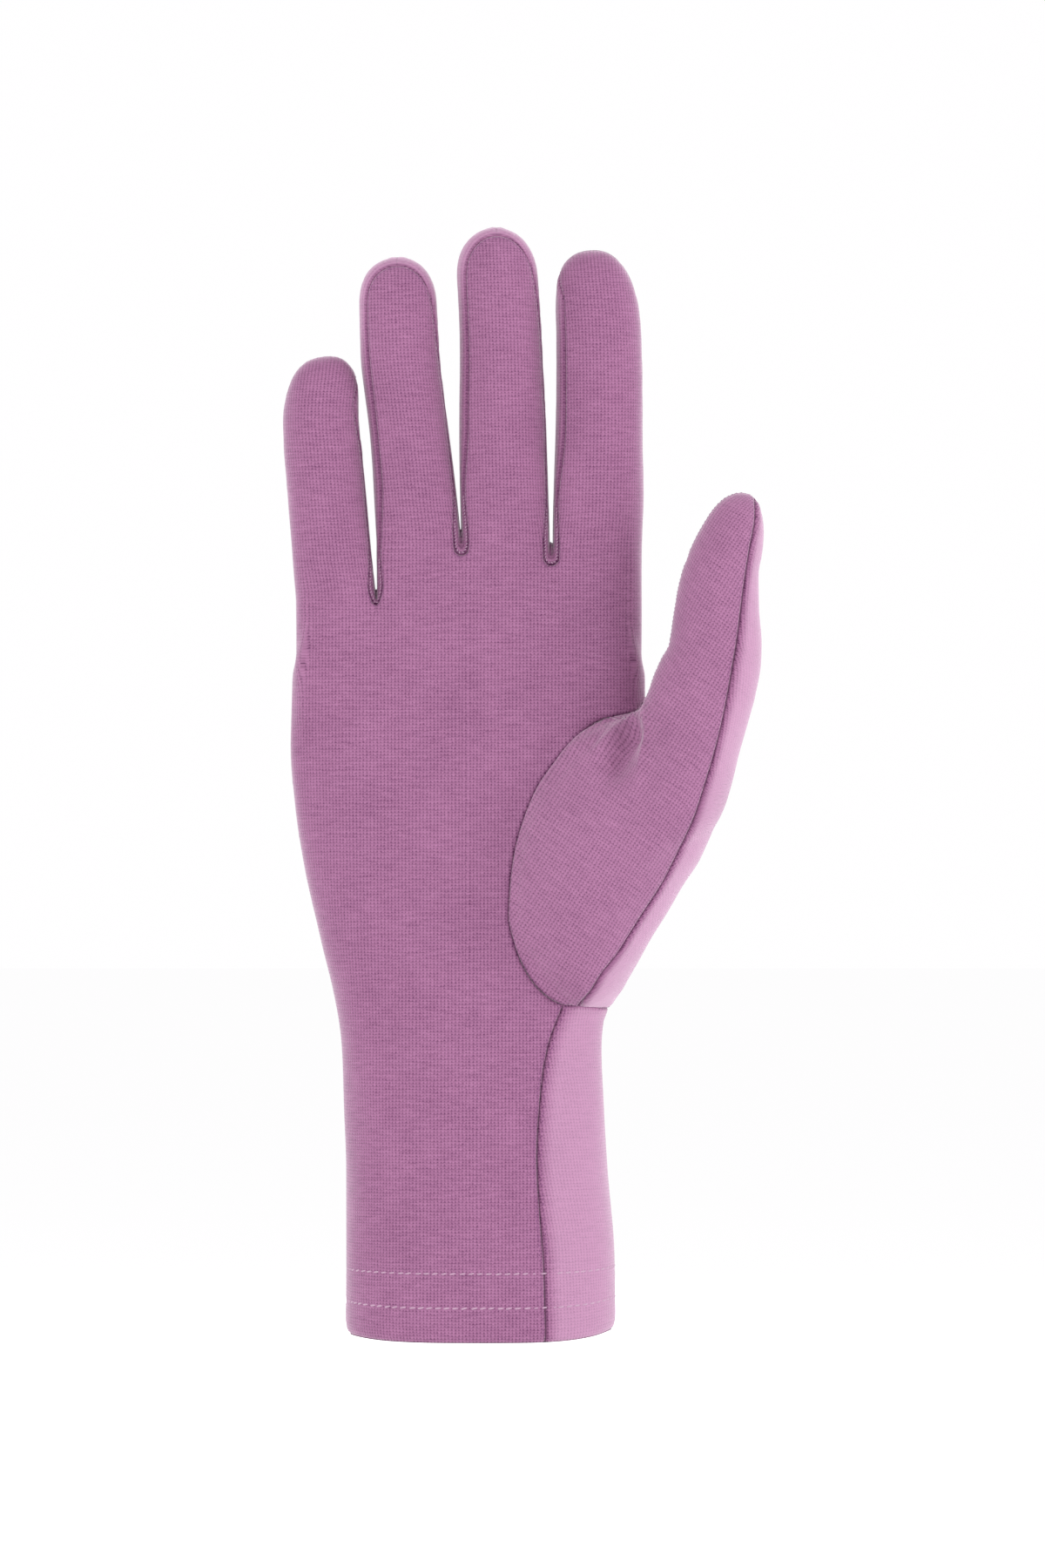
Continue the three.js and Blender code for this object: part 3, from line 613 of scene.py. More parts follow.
def sides(x, y, z, finger):
    """Which side of its finger a point is on, and the fork there, or -1."""
    middles = np.stack([finger_columns[name][0](z) for name in FINGER_NAMES])
    middle = np.take_along_axis(middles, finger[None], 0)[0]
    right = x > middle
    fork = np.where(right, finger, finger - 1)
    fork = np.where((fork < 0) | (fork > 2) | (z < CURL_START), -1, fork)
    return right, fork, x - middle


def edge_fields(x, y, z, finger):
    """Two fields: below zero on the palm panel, and above zero on the back panel."""
    right, fork, _ = sides(x, y, z, finger)
    curl = curl_at(z)
    tips = np.array([finger_tip(name) for name in FINGER_NAMES])[finger]
    rises = np.array(FORK_RISES)[np.clip(fork, 0, 2)]
    above = z - PALM_TOP - rises
    single = (finger == 0) | (finger == 3)
    pointed = np.where(single, smooth_step((z - tips + POINT_STOP + POINT_LENGTH) / POINT_LENGTH), 0.0)
    half = FOURCHETTE_SET + FOURCHETTE_FLARE * (1 - smooth_step(above / FLARE_LENGTH))
    turned = smooth_step(above / TURN_LENGTH) * smooth_step((tips - z) / TURN_LENGTH)
    turn = np.where(right, FOURCHETTE_TURN * turned, 0.0)
    side = y - curl - SIDE_SEAM_SET_BACK
    palm = y - curl - ((turn - half) * (1 - pointed) + SIDE_SEAM_SET_BACK * pointed)
    back = y - curl - (half * (1 - pointed) + SIDE_SEAM_SET_BACK * pointed)
    flap = line_distance(cuff_line, x, z)
    plain = np.where(z < FLAP_TOP, np.maximum(side, flap), side)
    has_fork = fork >= 0
    return np.where(has_fork, palm, plain), np.where(has_fork, back, plain)


SLOPE_STEP = 0.05
SLOPE_LIMITS = (0.35, 3.0)


def surface_distance(field, points, normals):
    """The field as a distance along the surface, and the direction along which it grows."""
    helper = np.where(np.abs(normals[:, 2:]) < 0.8, [[0, 0, 1.0]], [[1.0, 0, 0]])
    a = unit(np.cross(normals, helper))
    b = np.cross(normals, a)
    here = field(points)
    ga = (field(points + a * SLOPE_STEP) - here) / SLOPE_STEP
    gb = (field(points + b * SLOPE_STEP) - here) / SLOPE_STEP
    size = np.clip(np.sqrt(ga * ga + gb * gb), *SLOPE_LIMITS)
    along = unit(ga[:, None] * a + gb[:, None] * b)
    return here / size, along


class Sheet:
    """A triangle mesh with columns of values at its vertices, which can be cut along level lines."""

    def __init__(self, points, faces, values):
        self.points = points
        self.faces = faces
        self.values = values

    def cut(self, name, level, tolerance):
        """Cuts the triangles that the level line crosses. Close vertices are moved onto it first."""
        v = self.values[name] - level
        near = np.abs(v) < tolerance
        way = self.values[name + "_way"]
        self.points[near] -= v[near, None] * way[near]
        v = np.where(near, 0.0, v)
        self.values[name] = v + level
        signs = np.sign(v)[self.faces]
        crossed = (signs.min(1) < 0) & (signs.max(1) > 0)
        if not crossed.any():
            return
        keep = self.faces[~crossed]
        cut = self.faces[crossed]
        s = np.sign(v)[cut]
        on = s == 0
        # One vertex on the line: the triangle is cut in two through it
        one = on.any(1)
        tri = cut[one]
        turn = on[one].argmax(1)
        tri = np.stack([tri[np.arange(len(tri)), (turn + k) % 3] for k in range(3)], 1)
        pairs_one = np.sort(tri[:, 1:], axis=1)
        # No vertex on the line: the lone vertex's corner is cut off
        rest = cut[~one]
        rs = s[~one]
        lone = np.where(rs[:, 1] == rs[:, 2], 0, np.where(rs[:, 0] == rs[:, 2], 1, 2))
        rest = np.stack([rest[np.arange(len(rest)), (lone + k) % 3] for k in range(3)], 1)
        pairs_a = np.sort(rest[:, [0, 1]], axis=1)
        pairs_b = np.sort(rest[:, [0, 2]], axis=1)
        pairs = np.concatenate([pairs_one, pairs_a, pairs_b])
        unique, which = np.unique(pairs, axis=0, return_inverse=True)
        which = which.ravel()
        va = v[unique[:, 0]]
        vb = v[unique[:, 1]]
        t = va / (va - vb)
        start = len(self.points)

        def between(values):
            tt = t if values.ndim == 1 else t[:, None]
            return values[unique[:, 0]] * (1 - tt) + values[unique[:, 1]] * tt

        self.points = np.concatenate([self.points, between(self.points)])
        for key, column in self.values.items():
            self.values[key] = np.concatenate([column, between(column)])
        self.values[name][start:] = level
        ids = which + start
        m = ids[: len(tri)]
        p = ids[len(tri) : len(tri) + len(rest)]
        q = ids[len(tri) + len(rest) :]
        parts = (
            (tri[:, 0], tri[:, 1], m),
            (tri[:, 0], m, tri[:, 2]),
            (rest[:, 0], p, q),
            (p, rest[:, 1], rest[:, 2]),
            (p, rest[:, 2], q),
        )
        self.faces = np.concatenate([keep] + [np.stack(part, 1) for part in parts])


def triangles(points, quads):
    """Each quad as two triangles, along its shorter diagonal."""
    a, b, c, d = (points[quads[:, k]] for k in range(4))
    short = ((a - c) ** 2).sum(1) <= ((b - d) ** 2).sum(1)
    first = np.where(short[:, None], quads[:, [0, 1, 2]], quads[:, [0, 1, 3]])
    second = np.where(short[:, None], quads[:, [0, 2, 3]], quads[:, [1, 2, 3]])
    return np.concatenate([first, second])


lines = grid_lines()
gx, gy, gz = lines[0][:, None, None], lines[1][None, :, None], lines[2][None, None, :]
points, quads = surface_net(whole_field(gx, gy, gz), lines)
points = to_surface(points, 3)
points = relax(points, quads, 3)
points = to_surface(points, 2)
faces = triangles(points, quads)
normals = unit(gradient(points))

TIP_SEAM_LENGTH = 9.0
# the distance given where a seam doesn't run
NO_SEAM = 9.0
LONG_SEAM_EDGE = 1.0
OUT_OF_REACH = 30.0


def middle_field(p):
    """Sideways distance from the middle of the ring or the middle finger, near its tip."""
    finger = nearest_finger(*p.T)
    _, _, aside = sides(*p.T, finger)
    tips = np.array([finger_tip(name) for name in FINGER_NAMES])[finger]
    near_tip = ((finger == 1) | (finger == 2)) & (p[:, 2] > tips - TIP_SEAM_LENGTH)
    return np.where(near_tip, aside, np.where(aside > 0, NO_SEAM, -NO_SEAM) + aside)


def thumb_seam_field(p):
    """Distance from the thumb's long seam, which runs on the palm side only."""
    x, y, z = p.T
    gusset_middle = gusset_section(z)[1]
    thumb_middle = thumb_section(z)[1]
    middle = np.where(z > GUSSET_HIGH, thumb_middle, gusset_middle)
    far = np.where(y > middle + LONG_SEAM_EDGE, OUT_OF_REACH, 0.0)
    return line_distance(thumb_seam_line, x, z) + far


values = {"height": points[:, 2].copy()}
seam_fields = {
    "gusset": lambda p: gusset_distance(*p.T),
    "palm": lambda p: edge_fields(*p.T, nearest_finger(*p.T))[0],
    "back": lambda p: edge_fields(*p.T, nearest_finger(*p.T))[1],
    "tip": middle_field,
    "long": thumb_seam_field,
}
for key, field in seam_fields.items():
    values[key], values[key + "_way"] = surface_distance(field, points, normals)
sheet = Sheet(points, faces, values)
sheet.values["height_way"] = np.tile([0.0, 0.0, 1.0], (len(points), 1))

# level lines of the mesh along the cuff's edge and beside each seam, and how near a vertex snaps to one
EDGE_ROWS = (0.0, 0.15, 0.5, 1.1)
EDGE_SNAP = 0.06
SEAM_ROWS = (0.0, 0.14, -0.14, 0.42, -0.42, 0.85, -0.85)
SEAM_SNAP = 0.05
for level in EDGE_ROWS:
    sheet.cut("height", level, EDGE_SNAP)
sheet.faces = sheet.faces[sheet.values["height"][sheet.faces].min(1) > -TINY]
for key in seam_fields:
    for level in SEAM_ROWS:
        sheet.cut(key, level, SEAM_SNAP)

# Relief of the cloth: the cloth turns in at each seam, swells beside it, and folds at the thumb's fork

SEAM_TURN = 0.62
SEAM_SWELL = 0.2
SWELL_PLACE = 1.5
SWELL_REACH = 0.9
# the groove beside each row of the hem's stitches
HEM_GROOVE = 0.18
HEM_GROOVE_REACH = 0.6
CLOTH_WAVE = 0.12
# the gusset's seam fades out above the thumb's fork
GUSSET_SEAM_END = 143.0
GUSSET_SEAM_FADE = 3.0
GUSSET_SEAM_LIFT = 4.0
TIP_SEAM_EASE = 0.45
# the shares of a fold's line over which it rises and dies away
FOLD_START = 0.3
FOLD_END = 0.45
# a fold's line in x and z, its height above the cloth and its half width
FOLDS = (
    (((33.9, 140.6), (26.7, 135.2), (21.0, 130.9), (16.7, 125.2), (12.5, 118.2)), -0.35, 1.0),
    (((36.4, 140.9), (32.3, 138.6), (29.4, 136.2), (27.2, 133.5), (25.6, 130.5), (24.9, 127.4)), 1.1, 1.3),
    (((36.0, 140.5), (34.0, 136.5), (31.9, 132.0), (29.9, 127.5), (28.2, 122.5)), -2.9, 2.5),
    (((36.9, 144.0), (36.7, 139.0), (36.3, 134.0), (35.8, 129.5), (35.0, 124.8), (33.8, 119.0)), 0.9, 1.2),
)


# points along a fold's line, and how far back from the palm side the folds fade out
FOLD_POINTS = 40
FOLD_BACK = 2.0
FOLD_FADE = 6.0


def fold_height(x, y, z):
    """The folds' height on the palm side."""
    total = np.zeros(len(x))
    for line, height, width in FOLDS:
        path = smooth_line(line, FOLD_POINTS)
        far = np.full(len(x), 1e9)
        place = np.zeros(len(x))
        for k, (px, pz) in enumerate(path):
            dist = (x - px) ** 2 + (z - pz) ** 2
            closer = dist < far
            far = np.where(closer, dist, far)
            place = np.where(closer, k / (len(path) - 1), place)
        ends = smooth_step(place / FOLD_START) * smooth_step((1 - place) / FOLD_END)
        total += height * ends * np.exp(-far / (width * width))
    return total * smooth_step((FOLD_BACK - y) / FOLD_FADE)


WAVE_COUNT = 26
WAVE_LENGTHS = (9.0, 30.0)
# waves are drawn out upwards, and their sum is brought to about 1
WAVE_STRETCH = (1.0, 1.0, 0.6)
WAVE_SUM = 4.0
rng = np.random.default_rng(7)
WAVES = [
    (rng.normal(size=3), rng.uniform(0, 2 * math.pi), rng.uniform(*WAVE_LENGTHS))
    for _ in range(WAVE_COUNT)
]


def unevenness(p):
    """A slow random swell of the cloth, from -1 to 1 at most times."""
    total = np.zeros(len(p))
    for way, phase, length in WAVES:
        way = way / np.linalg.norm(way) * WAVE_STRETCH
        total += np.sin(p @ way * (2 * math.pi / length) + phase)
    return total / WAVE_SUM


HEM_ROWS = (7.8, 15.5)
HEM_LIFT_LEFT = 1.3
HEM_LIFT_RIGHT = 2.3
HEM_LIFT_HEIGHT = 30.0
HEM_OVERLAP = 0.4
HEM_PULL = 0.7
HEM_PULL_HEIGHT = 3.5


def hem_lift(x, z):
    """How far the cuff's edge rises towards its two sides."""
    share = x / body_section(z)[2]
    lift = np.where(share < 0, HEM_LIFT_LEFT, HEM_LIFT_RIGHT) * np.abs(share) ** 4
    return lift * (1 - smooth_step(z / HEM_LIFT_HEIGHT))


p0 = sheet.points
normals = unit(gradient(p0))
v = sheet.values
on_thumb = v["gusset"] > -1e-9
past_end = smooth_step((p0[:, 2] - GUSSET_SEAM_END) / GUSSET_SEAM_FADE)
seam_gusset = np.abs(v["gusset"]) + GUSSET_SEAM_LIFT * past_end
seam_hand = np.minimum(np.abs(v["palm"]), np.abs(v["back"]))
in_band = (v["palm"] >= -TINY) & (v["back"] <= TINY)
seam_tip = np.where(in_band, np.abs(v["tip"]), NO_SEAM)
seam_long = np.where(on_thumb, np.abs(v["long"]), NO_SEAM)
side_seam = np.where(on_thumb, NO_SEAM, seam_hand)
short_seams = np.minimum(seam_tip + TIP_SEAM_EASE, seam_long)
nearest_seam = np.minimum(np.minimum(seam_gusset, side_seam), short_seams)


def turn_in(s, radius):
    """The cloth's depth beside a seam, as a quarter of a round."""
    s = np.clip(s, 0, radius)
    return -(radius - np.sqrt(np.maximum(radius**2 - (radius - s) ** 2, 0)))


relief = turn_in(nearest_seam, SEAM_TURN)
relief += SEAM_SWELL * np.exp(-(((nearest_seam - SWELL_PLACE) / SWELL_REACH) ** 2))
for row in HEM_ROWS:
    relief -= HEM_GROOVE * np.exp(-(((p0[:, 2] - row) / HEM_GROOVE_REACH) ** 2))
relief += CLOTH_WAVE * unevenness(p0)
relief += fold_height(*p0.T)
outer = p0 + normals * relief[:, None]
hem = p0[:, 2] < HEM_HEIGHT + HEM_OVERLAP
thickness = np.where(hem, 2 * CLOTH, CLOTH)
inner_fold = np.clip(fold_height(*p0.T), -2, 2)
inner = p0 - normals * (thickness - CLOTH_WAVE * unevenness(p0) - inner_fold)[:, None]
edge_round = np.clip(p0[:, 2], 0, CLOTH)
roll = CLOTH - np.sqrt(np.maximum(CLOTH**2 - (CLOTH - edge_round) ** 2, 0))
outer -= normals * (roll + HEM_PULL * np.clip(1 - p0[:, 2] / HEM_PULL_HEIGHT, 0, 1) ** 2)[:, None]
inner += normals * roll[:, None]
lift = hem_lift(p0[:, 0], p0[:, 2])
outer[:, 2] += lift
inner[:, 2] += lift

# The pieces

f = sheet.faces
mean = {key: v[key][f].mean(1) for key in ("gusset", "palm", "back")}
middle_of_face = p0[f].mean(1)
face_finger = nearest_finger(*middle_of_face.T)
_, face_fork, _ = sides(*middle_of_face.T, face_finger)
is_thumb = mean["gusset"] > 0
is_palm = ~is_thumb & (mean["palm"] < 0)
is_back = ~is_thumb & ~is_palm & (mean["back"] > 0)
is_fork = ~is_thumb & ~is_palm & ~is_back
groups = {"palm_panel": is_palm, "back_panel": is_back, "thumb": is_thumb}
for i, name in enumerate(FORK_NAMES):
    groups[name] = is_fork & (face_fork == i)

# Where each thread of the knit lies: millimetres across and along the rows of stitches

ARC_STEPS = 65
ARC_PARTS = 8
# share of a section's half width from which angles are read from the depth, and the way there
SIDE_START = 0.9
SIDE_REACH = 0.08
ASPECTS = np.linspace(0.1, 3.0, 59)


def arc_table(squareness):
    """Length along a section from the middle of its front to an angle, for a half width of 1."""
    table = []
    for aspect in ASPECTS:
        fine = np.linspace(math.pi / 2, 0, ARC_PARTS * (ARC_STEPS - 1) + 1)
        x = np.abs(np.cos(fine)) ** (2 / squareness)
        y = aspect * np.abs(np.sin(fine)) ** (2 / squareness)
        length = np.concatenate([[0], np.cumsum(np.hypot(np.diff(x), np.diff(y)))])
        table.append(length[::ARC_PARTS])
    return np.array(table)


arc_tables = {n: arc_table(n) for n in (ROUND, BODY_SQUARENESS)}


def arc(section, squareness, x, y):
    """Signed length round a section from the middle of its front, and half the way round."""
    cx, cy, half, front, back = section
    table = arc_tables[squareness]
    depth = np.where(y < cy, front, back)
    c = (np.abs(x - cx) / half) ** (squareness / 2)
    s = (np.abs(y - cy) / depth) ** (squareness / 2)
    beside = smooth_step((c - SIDE_START) / SIDE_REACH)
    angle = (1 - beside) * np.arccos(np.clip(c, 0, 1)) + beside * np.arcsin(np.clip(s, 0, 1))

    def look_up(aspect, angle):
        i = np.clip((aspect - ASPECTS[0]) / (ASPECTS[1] - ASPECTS[0]), 0, len(ASPECTS) - 1.001)
        j = np.clip((math.pi / 2 - angle) / (math.pi / 2) * (ARC_STEPS - 1), 0, ARC_STEPS - 1.001)
        i0, j0 = i.astype(int), j.astype(int)
        a, b = i - i0, j - j0
        low = table[i0, j0] * (1 - b) + table[i0, j0 + 1] * b
        high = table[i0 + 1, j0] * (1 - b) + table[i0 + 1, j0 + 1] * b
        return low * (1 - a) + high * a

    zero = np.zeros_like(angle)
    front_quarter = look_up(front / half, zero)
    back_quarter = look_up(back / half, zero)
    here = look_up(depth / half, angle)
    length = np.where(y < cy, here, front_quarter + back_quarter - here)
    return np.sign(x - cx) * length * half, (front_quarter + back_quarter) * half


def along_dome(z, start, height):
    """Height along the cloth, which goes on over a round tip."""
    up = np.clip((z - start) / height, 0, 1)
    return np.where(up > 0, start + height * np.arcsin(np.minimum(up, 0.999)), z)


# the knit of a finger starts a little below its root, and the palm's passes into it over a length
KNIT_OVERLAP = 4
KNIT_EARLY = 5.0
KNIT_LENGTH = 14.0


def panel_knit(p, back):
    """Knit places on the palm panel or the back panel."""
    x, y, z = p.T
    section = body_section(z)
    signed, half_way = arc(section, BODY_SQUARENESS, x, y)
    if back:
        signed = np.sign(signed) * (half_way - np.abs(signed))
    u = section[0] + signed
    finger = nearest_finger(x, y, z)
    along = z.copy()
    for i, name in enumerate(FINGER_NAMES):
        mine = (finger == i) & (z > PALM_TOP - KNIT_OVERLAP)
        if not mine.any():
            continue
        own = finger_section(name, z[mine])
        round_way, half_round = arc(own, ROUND, x[mine], y[mine])
        if back:
            round_way = np.sign(round_way) * (half_round - np.abs(round_way))
        rise = FINGERS[name][3]
        dome = FINGERS[name][5]
        root = finger_columns[name][0](np.array(PALM_TOP + rise))
        grow = smooth_step((z[mine] - PALM_TOP - rise + KNIT_EARLY) / KNIT_LENGTH)
        u[mine] += grow * (root + round_way - u[mine])
        along[mine] = along_dome(z[mine], finger_tip(name) - dome, dome)
    return u, along


THUMB_SLANT = math.radians(57.0)
# where the gusset's sections pass into the thumb's
THUMB_MIX_START = 112.0
THUMB_MIX_LENGTH = 18.0
# on the palm side the thumb's knit goes round it from here on
THUMB_ROUND_START = 140.0
THUMB_ROUND_LENGTH = 20.0


def thumb_piece_section(z):
    """The gusset's section, which passes into the thumb's."""
    mix = smooth_step((z - THUMB_MIX_START) / THUMB_MIX_LENGTH)
    return tuple(a * (1 - mix) + b * mix for a, b in zip(gusset_section(z), thumb_section(z)))


def thumb_knit(p, long_side):
    """Knit places on the thumb piece, whose rows run obliquely."""
    x, y, z = p.T
    section = thumb_piece_section(z)
    signed, half_way = arc(section, ROUND, x, y)
    beside = signed - (x - section[0])
    started = smooth_step((z - THUMB_ROUND_START) / THUMB_ROUND_LENGTH)
    beside *= np.where(x < section[0], started, 1.0)
    flat = x + beside
    flat = np.where((signed > 0) & (long_side | (y > section[1])), flat - 2 * half_way, flat)
    along = along_dome(z, THUMB_TIP - THUMB_DOME, THUMB_DOME)
    return (
        flat * math.sin(THUMB_SLANT) - along * math.cos(THUMB_SLANT),
        flat * math.cos(THUMB_SLANT) + along * math.sin(THUMB_SLANT),
    )


def fork_knit(p):
    """Knit places on the side walls of the fingers."""
    x, y, z = p.T
    finger = nearest_finger(x, y, z)
    domes = np.array([FINGERS[name][5] for name in FINGER_NAMES])[finger]
    tips = np.array([finger_tip(name) for name in FINGER_NAMES])[finger]
    return y - curl_at(z), along_dome(z, tips - domes, domes)


# Materials


def math_node(tree, operation, values, clamp=False):
    """A Math node's result. Each value is a number or another node's result."""
    node = tree.nodes.new("ShaderNodeMath")
    node.operation = operation
    node.use_clamp = clamp
    for i, value in enumerate(values):
        if isinstance(value, (int, float)):
            node.inputs[i].default_value = value
        else:
            tree.links.new(value, node.inputs[i])
    return node.outputs[0]


# width of a column of stitches and height of a row
WALE = 0.80
COURSE = 0.68
YARN_LIGHT = (0.40, 0.175, 0.32, 1.0)
# the dark end: the yarn's darker streaks, and painted shade in the knit's hollows
DARK_YARN_AND_HOLLOW_SHADE = (0.08, 0.012, 0.066, 1.0)
# the pale colour of the painted light and sheen
PAINTED_SHEEN_PALE = (0.66, 0.40, 0.57, 1.0)
SHEEN_TINT = (1.0, 0.86, 0.96, 1.0)
# how far the columns and rows sway
SWAY = 0.42
# how steeply a stitch's legs slant, and how sharp its yarn and the gap between columns are
LEG_SLANT = 0.85
YARN_SHARPNESS = 0.6
GAP_SHARPNESS = 2.2
# how far the yarn fills the gap between columns, and the depth between two rows
GAP_FILL = 0.72
ROW_DEPTH = 0.3
# scales of the streaks and the fibres across and along, and of the wide patches
STREAK_SCALE = (0.22, 1.3)
FIBRE_SCALE = (1.9, 3.4)
PATCH_SCALE = 0.06
# what each of these adds to the shade from dark to light yarn; the knit's height, which goes in too, paints
# shade into its hollows
SHADE_BASE = -0.11
STREAK_SHADE = 0.55
FIBRE_SHADE = 0.75
PATCH_SHADE = 0.25
# how far the painted light and shade moves the shade, and how far the painted sheen mixes in the pale colour
PAINTED_LIGHT_GAIN = 0.35
PAINTED_SHADE_GAIN = 0.8
PAINTED_SHEEN_GAIN = 1.1
FIBRE_RELIEF = 0.5
KNIT_RELIEF = 0.16


def knit_material():
    """Stitches, streaks and fibres between a dark and a light yarn colour, with painted shade in the knit's
    hollows, painted light and shade read from a point attribute, and a bump, laid out by knit_place.
    """
    material = bpy.data.materials.new("knit")
    material.use_nodes = True
    tree = material.node_tree
    tree.nodes.clear()
    link = tree.links.new

    def calc(operation, *values, clamp=False):
        return math_node(tree, operation, values, clamp)

    def noise(place, scale, detail):
        node = tree.nodes.new("ShaderNodeTexNoise")
        node.inputs["Scale"].default_value = scale
        node.inputs["Detail"].default_value = detail
        link(place, node.inputs["Vector"])
        return node

    def swing(value, amount, base):
        return calc("MULTIPLY_ADD", calc("SUBTRACT", value, 0.5), amount, base)

    def scaled_place(across, along, scales):
        node = tree.nodes.new("ShaderNodeCombineXYZ")
        link(calc("MULTIPLY", across, scales[0]), node.inputs[0])
        link(calc("MULTIPLY", along, scales[1]), node.inputs[1])
        return node.outputs[0]

    output = tree.nodes.new("ShaderNodeOutputMaterial")
    shader = tree.nodes.new("ShaderNodeBsdfPrincipled")
    link(shader.outputs[0], output.inputs[0])
    shader.inputs["Roughness"].default_value = 0.9
    shader.inputs["Specular IOR Level"].default_value = 0.15
    shader.inputs["Sheen Weight"].default_value = 0.8
    shader.inputs["Sheen Roughness"].default_value = 0.38
    shader.inputs["Sheen Tint"].default_value = SHEEN_TINT
    place = tree.nodes.new("ShaderNodeAttribute")
    place.attribute_name = "knit_place"
    split = tree.nodes.new("ShaderNodeSeparateXYZ")
    link(place.outputs["Vector"], split.inputs[0])
    painted_light_and_shade = tree.nodes.new("ShaderNodeAttribute")
    painted_light_and_shade.attribute_name = "painted_light_and_shade"
    # the stitches aren't quite even
    sway = noise(place.outputs["Vector"], 0.9, 2.0)
    sway_parts = tree.nodes.new("ShaderNodeSeparateXYZ")
    link(sway.outputs["Color"], sway_parts.inputs[0])
    u = swing(sway_parts.outputs[0], SWAY, split.outputs[0])
    w = swing(sway_parts.outputs[1], SWAY, split.outputs[1])
    # one stitch: two slanting legs, with a gap between the columns that is lower and painted dark (painted
    # shade)
    column = calc("FRACT", calc("DIVIDE", u, WALE))
    across = calc("ABSOLUTE", calc("SUBTRACT", column, 0.5))
    rows = calc("SUBTRACT", calc("DIVIDE", w, COURSE), calc("MULTIPLY", across, LEG_SLANT))
    wave = calc("ABSOLUTE", calc("SINE", calc("MULTIPLY", rows, math.pi)))
    yarn = calc("POWER", wave, YARN_SHARPNESS)
    gap = calc("POWER", calc("MULTIPLY", across, 2.0), GAP_SHARPNESS)
    hollow = calc("MULTIPLY", gap, calc("MULTIPLY_ADD", yarn, -GAP_FILL, 1.0))
    row_hollow = calc("MULTIPLY_ADD", yarn, -ROW_DEPTH, ROW_DEPTH)
    between = calc("MULTIPLY", calc("SUBTRACT", 1.0, gap), row_hollow)
    height = calc("SUBTRACT", calc("SUBTRACT", 1.0, hollow), between)
    # streaks of the mixed yarn, loose fibres and wide uneven patches
    streak = noise(scaled_place(u, w, STREAK_SCALE), 1.0, 3.0)
    fibre = noise(scaled_place(u, w, FIBRE_SCALE), 1.0, 4.0)
    patch = noise(place.outputs["Vector"], PATCH_SCALE, 2.0)
    # the hollows of the knit are painted darker here: painted shade, from the same height as the bump
    shade = calc("MULTIPLY_ADD", height, 1.0, SHADE_BASE)
    shade = swing(streak.outputs[0], STREAK_SHADE, shade)
    shade = swing(fibre.outputs[0], FIBRE_SHADE, shade)
    shade = swing(patch.outputs[0], PATCH_SHADE, shade)
    # painted light and shade: paler strips and sheen, darker grooves and seams
    shade = calc("MULTIPLY_ADD", painted_light_and_shade.outputs["Fac"], PAINTED_LIGHT_GAIN, shade)
    shade = calc("MULTIPLY_ADD", calc("MINIMUM", painted_light_and_shade.outputs["Fac"], 0.0), PAINTED_SHADE_GAIN, shade)
    colour = tree.nodes.new("ShaderNodeMix")
    colour.data_type = "RGBA"
    link(shade, colour.inputs["Factor"])
    colour.inputs["A"].default_value = DARK_YARN_AND_HOLLOW_SHADE
    colour.inputs["B"].default_value = YARN_LIGHT
    # painted light and sheen: where the cloth is painted paler, it is mixed towards a pale colour and its
    # hollows show less
    pale = tree.nodes.new("ShaderNodeMix")
    pale.data_type = "RGBA"
    link(calc("MULTIPLY", painted_light_and_shade.outputs["Fac"], PAINTED_SHEEN_GAIN, clamp=True), pale.inputs["Factor"])
    link(colour.outputs["Result"], pale.inputs["A"])
    pale.inputs["B"].default_value = PAINTED_SHEEN_PALE
    link(pale.outputs["Result"], shader.inputs["Base Color"])
    bump = tree.nodes.new("ShaderNodeBump")
    bump.inputs["Strength"].default_value = 0.7
    bump.inputs["Distance"].default_value = KNIT_RELIEF * MM
    link(calc("MULTIPLY_ADD", fibre.outputs[0], FIBRE_RELIEF, height), bump.inputs["Height"])
    link(bump.outputs[0], shader.inputs["Normal"])
    return material


knit = knit_material()


def make_mesh(name, points, faces, material):
    mesh = bpy.data.meshes.new(name)
    mesh.vertices.add(len(points))
    mesh.vertices.foreach_set("co", (points * MM).astype(np.float32).ravel())
    mesh.loops.add(3 * len(faces))
    mesh.loops.foreach_set("vertex_index", faces.astype(np.int32).ravel())
    mesh.polygons.add(len(faces))
    mesh.polygons.foreach_set("loop_start", np.arange(0, 3 * len(faces), 3, dtype=np.int32))
    mesh.update(calc_edges=True)
    mesh.validate()
    mesh.shade_smooth()
    mesh.materials.append(material)
    ob = bpy.data.objects.new(name, mesh)
    bpy.context.scene.collection.objects.link(ob)
    return ob


def rim_of(faces):
    """The directed edges that only one face uses."""
    edges = np.concatenate([faces[:, [0, 1]], faces[:, [1, 2]], faces[:, [2, 0]]])
    size = faces.max() + 1
    key = edges[:, 0] * size + edges[:, 1]
    back = edges[:, 1] * size + edges[:, 0]
    return edges[~np.isin(key, back)]


# painted light and sheen: how much paler the cloth is painted on the thumb, on its strip, on the cuff's strip
# and at the side walls' ends; painted shade: how much darker it is painted in a groove and at a seam
THUMB_PAINTED_SHEEN = 0.04
THUMB_STRIP_PAINTED_LIGHT = 0.36
THUMB_GROOVE_PAINTED_SHADE = 0.12
THUMB_GROOVE_SHADE_REACH = 0.8
CUFF_STRIP_PAINTED_LIGHT = 0.32
STRIP_EDGE = 4.0
